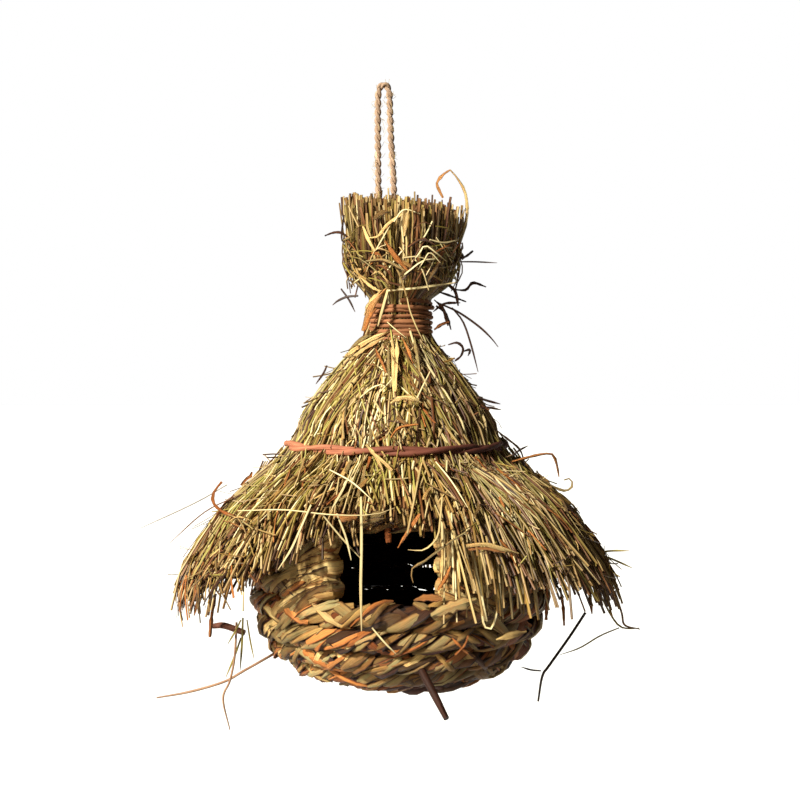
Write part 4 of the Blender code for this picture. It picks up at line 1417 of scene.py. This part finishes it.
LOOSE_LEAVES = [
    # half width in mm, tone, light, route from the axis in mm
    (1.5, 0.92, 0.95, [(-5.4, -15, -121), (-15.9, -14, -125.5), (-26.9, -9, -133)]),
    (1.3, 0.80, 0.9, [(-7.4, -17, -123.4), (-16.7, -17, -128.8), (-24.6, -14.8, -134.7)]),
    (1.1, 0.60, 0.8, [(-10.4, -12, -120), (-18.9, -8, -124.5), (-25.4, -5, -130.5)]),
    (1.2, 0.98, 0.95, [(-3.9, -15.5, -123.5), (-3.4, -29, -134), (-2.9, -43.5, -152.1)]),
    (1.1, 0.92, 0.95, [(-1.5, -16, -123.5), (-1.5, -29, -133.5), (-2.4, -41.6, -149.3)]),
    (0.8, 0.75, 0.8, [(-5.4, -18.4, -125.4), (-5.8, -29.6, -136), (-4.8, -39.4, -147)]),
    (1.5, 0.60, 0.75, [(6.9, -15, -124), (8.3, -25.2, -131.4), (9.6, -33.3, -140.4)]),
    (0.8, 0.38, 0.8, [(1, -16.5, -123.5), (3.9, -24.9, -129.6), (6.3, -30.9, -136.2)]),
    (0.9, 0.36, 0.85, [(-11.7, -21.7, -129.6), (-9.2, -28.1, -134.8), (-6.7, -34.1, -140.5)]),
    (1.1, 0.85, 0.9, [(-18.4, -27.2, -140.2), (-23.2, -29.8, -145.9), (-27.9, -33.8, -153.5)]),
    (1.6, 0.56, 0.35, [(-12.6, -27.4, -66.3), (-9.2, -29.1, -63.5), (-5.8, -30.1, -63)]),
    (0.9, 0.97, 0.95, [(1.9, -29.8, -74.6), (2.9, -30.2, -67.8), (4.3, -30.4, -60.7)]),
    (0.8, 0.92, 0.9, [(1, -30.6, -64), (-5.8, -29.7, -68.8), (-10.6, -27.6, -74.5), (-15, -25.1, -75.3)]),
    (0.9, 0.70, 0.95, [(-18.5, -21.1, -86.8), (-8.2, -27.9, -86), (-1, -28.5, -89.4), (5.3, -27.1, -92.8)]),
    (1.3, 0.36, 0.85, [(-7.2, -29.6, -76.9), (-1.9, -29.4, -85.1), (5.3, -27.1, -92.8)]),
    (1.4, 0.97, 0.95, [(22.5, -19.1, -79.4), (25.1, -14.1, -83.1), (27.9, -7.5, -86.2)]),
    (1.1, 0.93, 0.95, [(-21.6, -16.3, -89.6), (-18.1, -16.4, -97.4), (-16.9, -5.5, -103.6)]),
    (0.9, 0.88, 0.95, [(-19.6, -17.4, -93.5), (-14.7, -18.8, -98.4), (-9.3, -19, -101.4)]),
    (0.7, 0.90, 0.9, [(-14.1, -22.8, -93.6), (-10.7, -25.5, -91.7), (-6.3, -25.9, -96.1),
     (-4.4, -21.6, -100.9)]),
    (0.9, 0.20, 0.5, [(16.9, -6, -120), (20.4, -5, -117.5), (24.4, -4, -116)]),
    (0.9, 0.06, 0.3, [(16.9, -6, -105.1), (21.4, -5, -109.6), (23.9, -4, -118)]),
    (0.8, 0.05, 0.3, [(16.4, -6, -111.1), (21.9, -5, -107.1), (29.9, -3, -106.6)]),
    (0.8, 0.02, 0.3, [(18.9, -6, -101.1), (24.9, -5, -103.1), (32.9, -3, -106.1)]),
    (0.7, 0.06, 0.3, [(17.9, -4, -108.1), (22.9, -3, -112.1), (25.4, -2, -120)]),
    (0.9, 0.02, 0.3, [(23.4, -6, -97.2), (27.4, -5, -101.1), (28.9, -4, -108.1)]),
    (2.0, 0.43, 0.95, [(-6.8, -19, -99.9), (-12.2, -18.5, -105.7), (-15.7, -16, -112.5),
     (-18.1, -12, -120.4)]),
    (1.3, 0.86, 0.95, [(-8.8, -19.5, -100.4), (-14.2, -17.8, -106.2), (-17.6, -13.5, -112.9)]),
    (1.1, 0.33, 0.9, [(-11.3, -19.3, -109.4), (-15.2, -16.5, -114.2), (-18.0, -13, -122.9)]),
    (1.5, 0.95, 0.9, [(-4.3, -46, -154.8), (-0.5, -47.5, -152.3), (4.3, -47.5, -151.9), (10, -46, -154.3)]),
    (0.8, 0.31, 0.95, [(-4.3, -56, -170.4), (-1.9, -57, -166.9), (1.9, -56, -165), (8.5, -54, -164.2)]),
    (1.2, 0.88, 0.9, [(-16, -60, -173.3), (-11.7, -60, -178.3), (-7.5, -63, -186.2)]),
    (0.9, 0.85, 0.9, [(-3.7, -66, -185.1), (-7.5, -64, -181.4), (-13.1, -61, -176.9)]),
    (0.5, 0.80, 0.9, [(-80.9, -61, -206.1), (-75.1, -63, -208.2), (-68.5, -65, -212.5)]),
    (0.4, 0.42, 0.8, [(-83.0, -60, -209.1), (-76.1, -63, -211.2), (-70.5, -65, -214.5)]),
    (0.4, 0.90, 0.9, [(-82.0, -61, -211.0), (-76.0, -64, -207.0), (-69.0, -66, -208.5)]),
    (0.4, 0.80, 0.9, [(-78.0, -62, -204.5), (-74.0, -65, -210.0), (-71.0, -66, -216.5)]),
    (0.9, 0.22, 0.45, [(-84.6, -48, -191.9), (-88.4, -48, -196.7), (-88.7, -50, -201.3),
     (-84.6, -56, -204.7), (-78.1, -61, -207.1), (-71.3, -64, -209.7)]),
    (1.2, 0.84, 0.8, [(30.1, -87, -217.8), (38.3, -87, -217.0), (45.7, -86, -219), (54.2, -82, -221.8)]),
    (0.9, 0.40, 0.75, [(31.1, -87, -219.4), (39.3, -87, -219.0), (47.7, -85, -221)]),
    (1.0, 0.30, 0.7, [(45.7, -85, -215.3), (50.4, -83, -221.1), (53.3, -81, -227.8)]),
    (0.8, 0.40, 0.7, [(54.7, -22, -184.4), (63.8, -18, -182.2), (71.5, -14, -181), (75.6, -12, -181.7),
     (77.7, -10, -186.8), (78.9, -8, -192.9)]),
    (0.7, 0.60, 0.8, [(68.6, -20, -192.4), (75.8, -16, -197.2), (81.4, -14, -199.3), (85, -12, -197.5),
     (84.5, -12, -193.6), (81.1, -12, -194.1)]),
    (1.0, 0.25, 0.6, [(76.9, -40, -243.6), (78.6, -38, -253.1), (79.3, -36, -262.6)]),
    (1.1, 0.25, 0.5, [(70.4, -50, -239.2), (70.1, -48, -248.7), (69.8, -46, -258.2)]),
    (0.9, 0.25, 0.5, [(92.4, -20, -241.6), (93.6, -18, -251.3), (94.8, -16, -260)]),
    (1.1, 0.20, 0.5, [(-89.5, -30, -247.9), (-91.6, -28, -258.1), (-92.9, -26, -269.8)]),
    (0.9, 0.30, 0.6, [(-97.2, -30, -245), (-98.9, -28, -253.2), (-100.6, -26, -259.4)]),
    (0.8, 0.60, 0.8, [(31.1, -84, -211.2), (22.8, -84, -216.3), (16.5, -83, -221), (11.5, -82, -225.2),
     (6.4, -81, -228.1), (5.1, -80, -231), (6, -80, -235.6)]),
    (1.0, 0.26, 0.8, [(9.1, -86, -203.2), (5.5, -86, -208.7), (1.8, -85, -214.3), (-0.9, -84, -219)]),
    (3.3, 0.70, 0.8, [(14.8, -77, -251.4), (21.2, -79, -247.8), (28.5, -79, -245.5), (35.1, -76, -244.1)]),
    (1.9, 0.42, 0.55, [(6.5, -77, -244.2), (12.5, -79, -242.6), (19.5, -79, -243.4)]),
    (1.5, 0.95, 0.85, [(19.2, -72, -213.0), (19.8, -73.5, -226.0), (19.0, -73, -238.0)]),
    (1.2, 0.80, 0.8, [(22.2, -72, -214.0), (22.6, -73.5, -225.0), (22.4, -73, -236.0)]),
    (1.1, 0.40, 0.7, [(25.2, -71, -215.0), (25.4, -72.5, -226.0), (25.0, -72, -239.0)]),
    (0.7, 0.24, 0.6, [(24, -77, -261.6), (26.7, -78.5, -264.3), (31.4, -76, -269.2)]),
    (0.6, 0.22, 0.6, [(31.5, -75, -261), (29.6, -78.5, -264.9), (25.5, -75, -269.8)]),
    (1.8, 0.84, 0.7, [(44.8, -68, -264.1), (51.3, -67, -262.3), (59.3, -60, -261.6)]),
    (1.2, 0.30, 0.8, [(17.5, -78, -239.2), (21.1, -80, -233.3), (23, -80, -227.8)]),
    (2.4, 0.40, 0.75, [(-30.0, -84, -203.6), (-25.3, -85, -205.2), (-19.5, -84.5, -204.6)]),
    (1.9, 0.60, 0.45, [(-17.5, -83, -205.6), (-12.3, -84, -204.2), (-6.5, -83.5, -202.6)]),
    (1.5, 0.75, 0.5, [(-16.5, -83, -207.6), (-11.3, -84, -206.2), (-7.5, -83.5, -205.6)]),
    (0.95, 0.84, 0.9, [(28.1, -10, -77.1), (31.6, -8, -69.7), (33.1, -8, -60.8), (32.1, -6, -51.8),
     (28.2, -5, -44.9), (24.8, -4, -40.9)]),
    (0.9, 0.42, 0.9, [(24.8, -4, -40.9), (21.3, -4, -43.3), (18.3, -4, -47.3), (19.3, -4, -50.7),
     (21.3, -4, -54.7)]),
]


class NEST_OT_loose(bpy.types.Operator):
    """Scatter the bent straws, leaves and fibres that stick out of the nest"""

    bl_idname = "nest.loose"
    bl_label = "Loose Straw and Leaves"

    def execute(self, context):
        straw = context.scene.nest_straw
        rng = np.random.default_rng(53)
        self.straw = straw_finish("loose_straw", straw)
        self.leaf = leaf_finish("loose_leaf", context.scene.nest_rope)
        self.add_named(rng)
        self.add_roof_leaves(rng)
        self.add_brush_bits(rng)
        self.add_chaff(rng)
        self.add_fuzz(rng)
        self.add_fibres(rng)
        self.add_fringe(rng, straw)
        return {"FINISHED"}

    @staticmethod
    def route(points):
        points = np.array(points, dtype=float) * MM
        points[:, 0] += AXIS_X
        return points

    def add_named(self, rng):
        levels = 12
        stems = Runs(levels)
        broad = [wisp for wisp in DARK_WISPS if wisp[0] >= 0.7]
        thin = [wisp for wisp in DARK_WISPS if wisp[0] < 0.7]
        for size, tone, light, points in LOOSE_STRAWS + thin:
            stems.add_one(
                self.route(points), (0.1, -1.0, 0.15), size * MM, size * MM, tone=tone, light=light,
                taper=(0.8, 0.35),
            )
        lay_copies("loose_straws", stem_template(levels, 6), stems, self.straw)
        leaves = Runs(levels)
        for size, tone, light, points in LOOSE_LEAVES + broad:
            turn = rng.normal(0.0, 0.35, 3)
            leaves.add_one(
                self.route(points), (turn[0], -1.0, 0.2 + turn[2]), size * MM, 0.12 * MM,
                crown=rng.uniform(0.15, 0.6) * size * MM, tone=tone, light=light,
                taper=rng.uniform(0.15, 0.8, 2), torn=rng.uniform(0.6, 1.1, levels),
            )
        lay_copies("loose_leaves", strip_template(levels, 1), leaves, self.leaf)

    def add_roof_leaves(self, rng):
        """Short blades among the stems, and brown and pale tips along the left of the eave."""
        levels = 5
        template = strip_template(levels, 1)
        count = 300
        runs = Runs(levels)
        paths, ups, degrees = roof_paths(
            rng, count, levels, (0.10, 0.85), (0.88, 1.04), (0.2 * MM, 2.2 * MM), 0.45, 0.05, 300
        )
        middle = paths[:, 2:3]
        size = np.linalg.norm(paths[:, -1] - paths[:, 0], axis=1)
        wanted = rng.uniform(7.0, 24.0, count) * MM
        paths = middle + (paths - middle) * np.minimum(1.0, wanted / size)[:, None, None]
        ups = ups + rng.normal(0.0, 0.45, (count, 1, 3))
        wide = rng.uniform(0.4, 1.1, count)[:, None] * MM * rng.uniform(0.4, 1.1, (count, levels))
        rusty = rng.uniform(size=count) < 0.20
        tone = np.where(rusty, rng.uniform(0.2, 0.4, count), rng.uniform(0.5, 1.0, count))
        light = rng.uniform(0.3, 0.95, count)
        crown = rng.uniform(0.0, 0.5, count) * MM
        runs.add(paths, ups, wide, np.full(count, BLADE_THICK), crown, tone, light)
        lay_copies("roof_leaves", template, runs, self.leaf)
        count = 110
        degrees = rng.uniform(-112.0, -48.0, count)
        limit = eave_travel(degrees)
        begin = limit - rng.uniform(4.0, 26.0, count) * MM
        travel = begin[:, None] + (
            np.linspace(0.0, 1.0, levels) * rng.uniform(10.0, 26.0, count)[:, None] * MM)
        turn = degrees[:, None] + np.linspace(0.0, 1.0, levels) * rng.normal(0.0, 6.0, count)[:, None]
        lift = np.full((count, levels), 0.5 * MM) - np.linspace(0.0, 5.0, levels) * MM * rng.uniform(
            0.0, 1.0, count)[:, None]
        paths, ups = on_roof(turn, travel, lift)
        wide = rng.uniform(0.35, 1.0, count)[:, None] * MM * rng.uniform(0.3, 1.1, (count, levels))
        runs = Runs(levels)
        rusty = rng.uniform(size=count) < 0.45
        tone = np.where(rusty, rng.uniform(0.05, 0.42, count), rng.uniform(0.5, 1.0, count))
        crown = rng.uniform(0.0, 0.5, count) * MM
        light = rng.uniform(0.2, 0.8, count)
        runs.add(paths, ups, wide, np.full(count, BLADE_THICK), crown, tone, light)
        lay_copies("eave_leaves", template, runs, self.leaf)

    def brush_places(self, rng, count, low, high):
        """Points on the outside of the brush, the outward and the level directions there."""
        degrees = rng.uniform(-180.0, 180.0, count)
        angle = np.radians(degrees - 90.0)
        share = rng.uniform(low, high, count)
        flare = np.interp(share, [row[0] for row in BRUSH_LINE], [row[1] for row in BRUSH_LINE])
        reach = (TUFT_HIGH[0] - TUFT_LOW[0]) / 2 * BRUSH_FILL
        radius = BINDING_R - BRUSH_INSET + (reach - BINDING_R + BRUSH_INSET) * flare
        height = BINDING_HIGH + (TUFT_HIGH[2] - 5.0 * MM - BINDING_HIGH) * share
        outward = np.stack([np.cos(angle), np.sin(angle), np.zeros(count)], axis=1)
        level = np.stack([-np.sin(angle), np.cos(angle), np.zeros(count)], axis=1)
        points = outward * radius[:, None]
        points[:, 0] += AXIS_X + BRUSH_SHIFT * flare
        points[:, 2] = height
        return points, outward, level

    def add_brush_bits(self, rng):
        """Bent stems and torn blades caught in the brush, most of them in its lower half."""
        levels = 6
        stems = Runs(levels)
        blades = Runs(levels)
        up_axis = np.array([0.0, 0.0, 1.0])
        groups = ((150, 0.20, 0.56, False), (18, 0.5, 0.95, False), (64, 0.20, 0.66, True))
        for count, low, high, wide in groups:
            places, outward, level = self.brush_places(rng, count, low, high)
            for place, out, along in zip(places, outward, level):
                lean = rng.uniform(-1.0, 1.0)
                way = along * rng.choice([-1.0, 1.0]) * (1.0 - 0.5 * abs(lean)) + up_axis * lean
                way /= np.linalg.norm(way)
                size = rng.uniform(5.0, 20.0) * MM
                lift = rng.uniform(0.1, 1.9) * MM
                bend = (up_axis * rng.normal(0.0, 0.25) + out * rng.uniform(-0.05, 0.30)) * size
                points = [
                    place + out * lift - way * size / 2, place + out * (lift + 0.6 * MM) + bend * 0.4,
                    place + out * lift + way * size / 2 - up_axis * abs(rng.normal(0.0, 0.15)) * size,
                ]
                tone = rng.choice([rng.uniform(0.3, 0.5), rng.uniform(0.6, 1.0), rng.uniform(0.02, 0.2)])
                if wide:
                    blades.add_one(
                        points, out + rng.normal(0.0, 0.4, 3), rng.uniform(0.4, 1.1) * MM, BLADE_THICK,
                        crown=0.3 * MM, tone=min(1.0, tone + 0.05), light=rng.uniform(0.3, 1.0),
                        taper=(0.5, 0.2), torn=rng.uniform(0.6, 1.1, levels),
                    )
                else:
                    half = rng.uniform(0.22, 0.5) * MM
                    stems.add_one(points, out, half, half, tone=tone, light=rng.uniform(0.3, 1.0))
        lay_copies("brush_bits", stem_template(levels, 5), stems, self.straw)
        lay_copies("brush_blades", strip_template(levels, 1), blades, self.leaf)

    def add_chaff(self, rng):
        """Crumbs of straw that lie on the roof at any angle."""
        levels = 4
        count = 430
        degrees = rng.uniform(-180.0, 180.0, count)
        middle = eave_travel(degrees) * rng.uniform(0.10, 1.0, count)
        size = rng.uniform(3.0, 11.0, count) * MM
        way = rng.uniform(-math.pi / 2, math.pi / 2, count)
        share = np.linspace(-0.5, 0.5, levels)[None]
        travel = middle[:, None] + share * (size * np.cos(way))[:, None]
        radius = np.maximum(np.interp(middle, LINE_TRAVEL, LINE_RADIUS), 20 * MM)
        turn = degrees[:, None] + share * np.degrees(size * np.sin(way) / radius)[:, None]
        lift = rng.uniform(-0.6, 1.6, count)[:, None] * MM
        lift = lift + share * rng.normal(0.0, 2.2 * MM, count)[:, None]
        paths, ups = on_roof(turn, travel, press_down(travel, lift))
        half = rng.uniform(0.18, 0.42, count) * MM
        runs = Runs(levels)
        tone = stem_tones(rng, degrees)
        runs.add(paths, ups, half, half * 0.6, np.zeros(count), tone, rng.uniform(0.3, 1.0, count))
        lay_copies("roof_chaff", stem_template(levels, 4), runs, self.straw)

    def add_fuzz(self, rng):
        """Short fibres that stand off the cord."""
        levels = 4
        count = 130
        path = cord_path(400)
        places = path[rng.integers(60, 340, count)]
        angle = rng.uniform(0.0, 2 * math.pi, count)
        away = np.stack([np.cos(angle), np.sin(angle), np.zeros(count)], axis=1)
        size = rng.uniform(0.8, 2.6, count) * MM
        share = np.linspace(0.0, 1.0, levels)[None, :, None]
        rise = np.stack([np.zeros(count), np.zeros(count), rng.normal(0.0, 1.2, count)], axis=1)
        paths = places[:, None] + away[:, None] * (1.2 * MM + share * size[:, None, None])
        paths = paths + rise[:, None] * share**2 * size[:, None, None]
        runs = Runs(levels)
        half = np.full(count, 0.09 * MM)
        runs.add(paths, np.array([0.1, 0.1, 1.0]), half, half, np.zeros(count), 0.7, 0.7)
        lay_copies("cord_fuzz", stem_template(levels, 3), runs, self.straw)

    def add_fibres(self, rng):
        """Thin fibres and stems that stand off the roof."""
        levels = 5
        count = 460
        share = np.linspace(0.0, 1.0, levels)
        degrees = rng.uniform(-180.0, 180.0, count)
        limit = eave_travel(degrees)
        begin = rng.uniform(0.15, 0.97, count) * limit
        size = rng.uniform(6.0, 18.0, count) * MM
        travel = begin[:, None] + share * size[:, None] * rng.uniform(0.1, 1.0, count)[:, None]
        turn = degrees[:, None] + share * (rng.normal(0.0, 8.0, count))[:, None]
        lift = share**1.3 * (size * rng.uniform(0.05, 0.50, count))[:, None]
        paths, ups = on_roof(turn, travel, press_down(travel, lift))
        half = rng.uniform(0.12, 0.42, count) * MM
        tone = np.where(rng.uniform(size=count) < 0.25, 0.04, rng.uniform(0.3, 1.0, count))
        runs = Runs(levels)
        runs.add(paths, ups, half, half, np.zeros(count), tone, rng.uniform(0.2, 0.7, count))
        lay_copies("roof_fibres", stem_template(levels, 4), runs, self.straw)

    def add_fringe(self, rng, straw):
        """Pale square-cut stems that hang before the ball, right of the entrance."""
        levels = 5
        count = 64
        runs = Runs(levels)
        for _ in range(count):
            degrees = rng.uniform(15.0, 54.0)
            angle = math.radians(degrees - 90.0)
            top = rng.uniform(-206.0, -196.0) * MM
            end = rng.uniform(-256.0, -232.0) * MM
            radius = np.interp(-top, -LINE_HEIGHT, LINE_RADIUS) - 1.5 * MM
            lean = rng.normal(0.10, 0.10)
            out = rng.uniform(4.0, 14.0) * MM
            points = []
            for share in (0.0, 0.35, 0.7, 1.0):
                reach = radius + out * share - 1.0 * MM * share**2
                around = angle + lean * share * 0.35
                points.append((
                    AXIS_X + reach * math.cos(around), reach * math.sin(around), top + (end - top) * share
                ))
            half = straw.thickness / 2 * rng.uniform(0.7, 1.25)
            runs.add_one(
                np.array(points), (0.1, -1.0, 0.1), half, half, tone=rng.uniform(0.55, 1.0),
                light=rng.uniform(0.4, 0.95),
            )
        lay_copies("front_fringe", stem_template(levels, 6), runs, self.straw)


class NEST_PT_panel(bpy.types.Panel):
    """Lists the steps that build the nest"""

    bl_idname = "NEST_PT_panel"
    bl_label = "Hanging Straw Nest"
    bl_space_type = "VIEW_3D"
    bl_region_type = "UI"
    bl_category = "Nest"

    def draw(self, context):
        for step in STEPS:
            self.layout.operator(step.bl_idname)
        for name in SETTINGS:
            settings = getattr(context.scene, name)
            for key in settings.__annotations__:
                self.layout.prop(settings, key)


STEPS = (
    NEST_OT_stage, NEST_OT_cord, NEST_OT_brush, NEST_OT_binding, NEST_OT_roof, NEST_OT_hoop,
    NEST_OT_ball, NEST_OT_entrance, NEST_OT_sticks, NEST_OT_loose,
)
SETTINGS = {
    "nest_straw": StrawSettings,
    "nest_rope": RopeSettings,
    "nest_cord": CordSettings,
    "nest_stage": StageSettings,
}


def register():
    for group in SETTINGS.values():
        bpy.utils.register_class(group)
    for step in (*STEPS, NEST_PT_panel):
        bpy.utils.register_class(step)
    for name, group in SETTINGS.items():
        setattr(bpy.types.Scene, name, PointerProperty(type=group))


def unregister():
    for name in SETTINGS:
        delattr(bpy.types.Scene, name)
    for step in (NEST_PT_panel, *reversed(STEPS)):
        bpy.utils.unregister_class(step)
    for group in reversed(list(SETTINGS.values())):
        bpy.utils.unregister_class(group)


def main():
    register()
    for step in STEPS:
        area, name = step.bl_idname.split(".")
        result = getattr(getattr(bpy.ops, area), name)()
        if result != {"FINISHED"}:
            raise RuntimeError(step.bl_label + " did not finish")


if __name__ == "__main__":
    main()
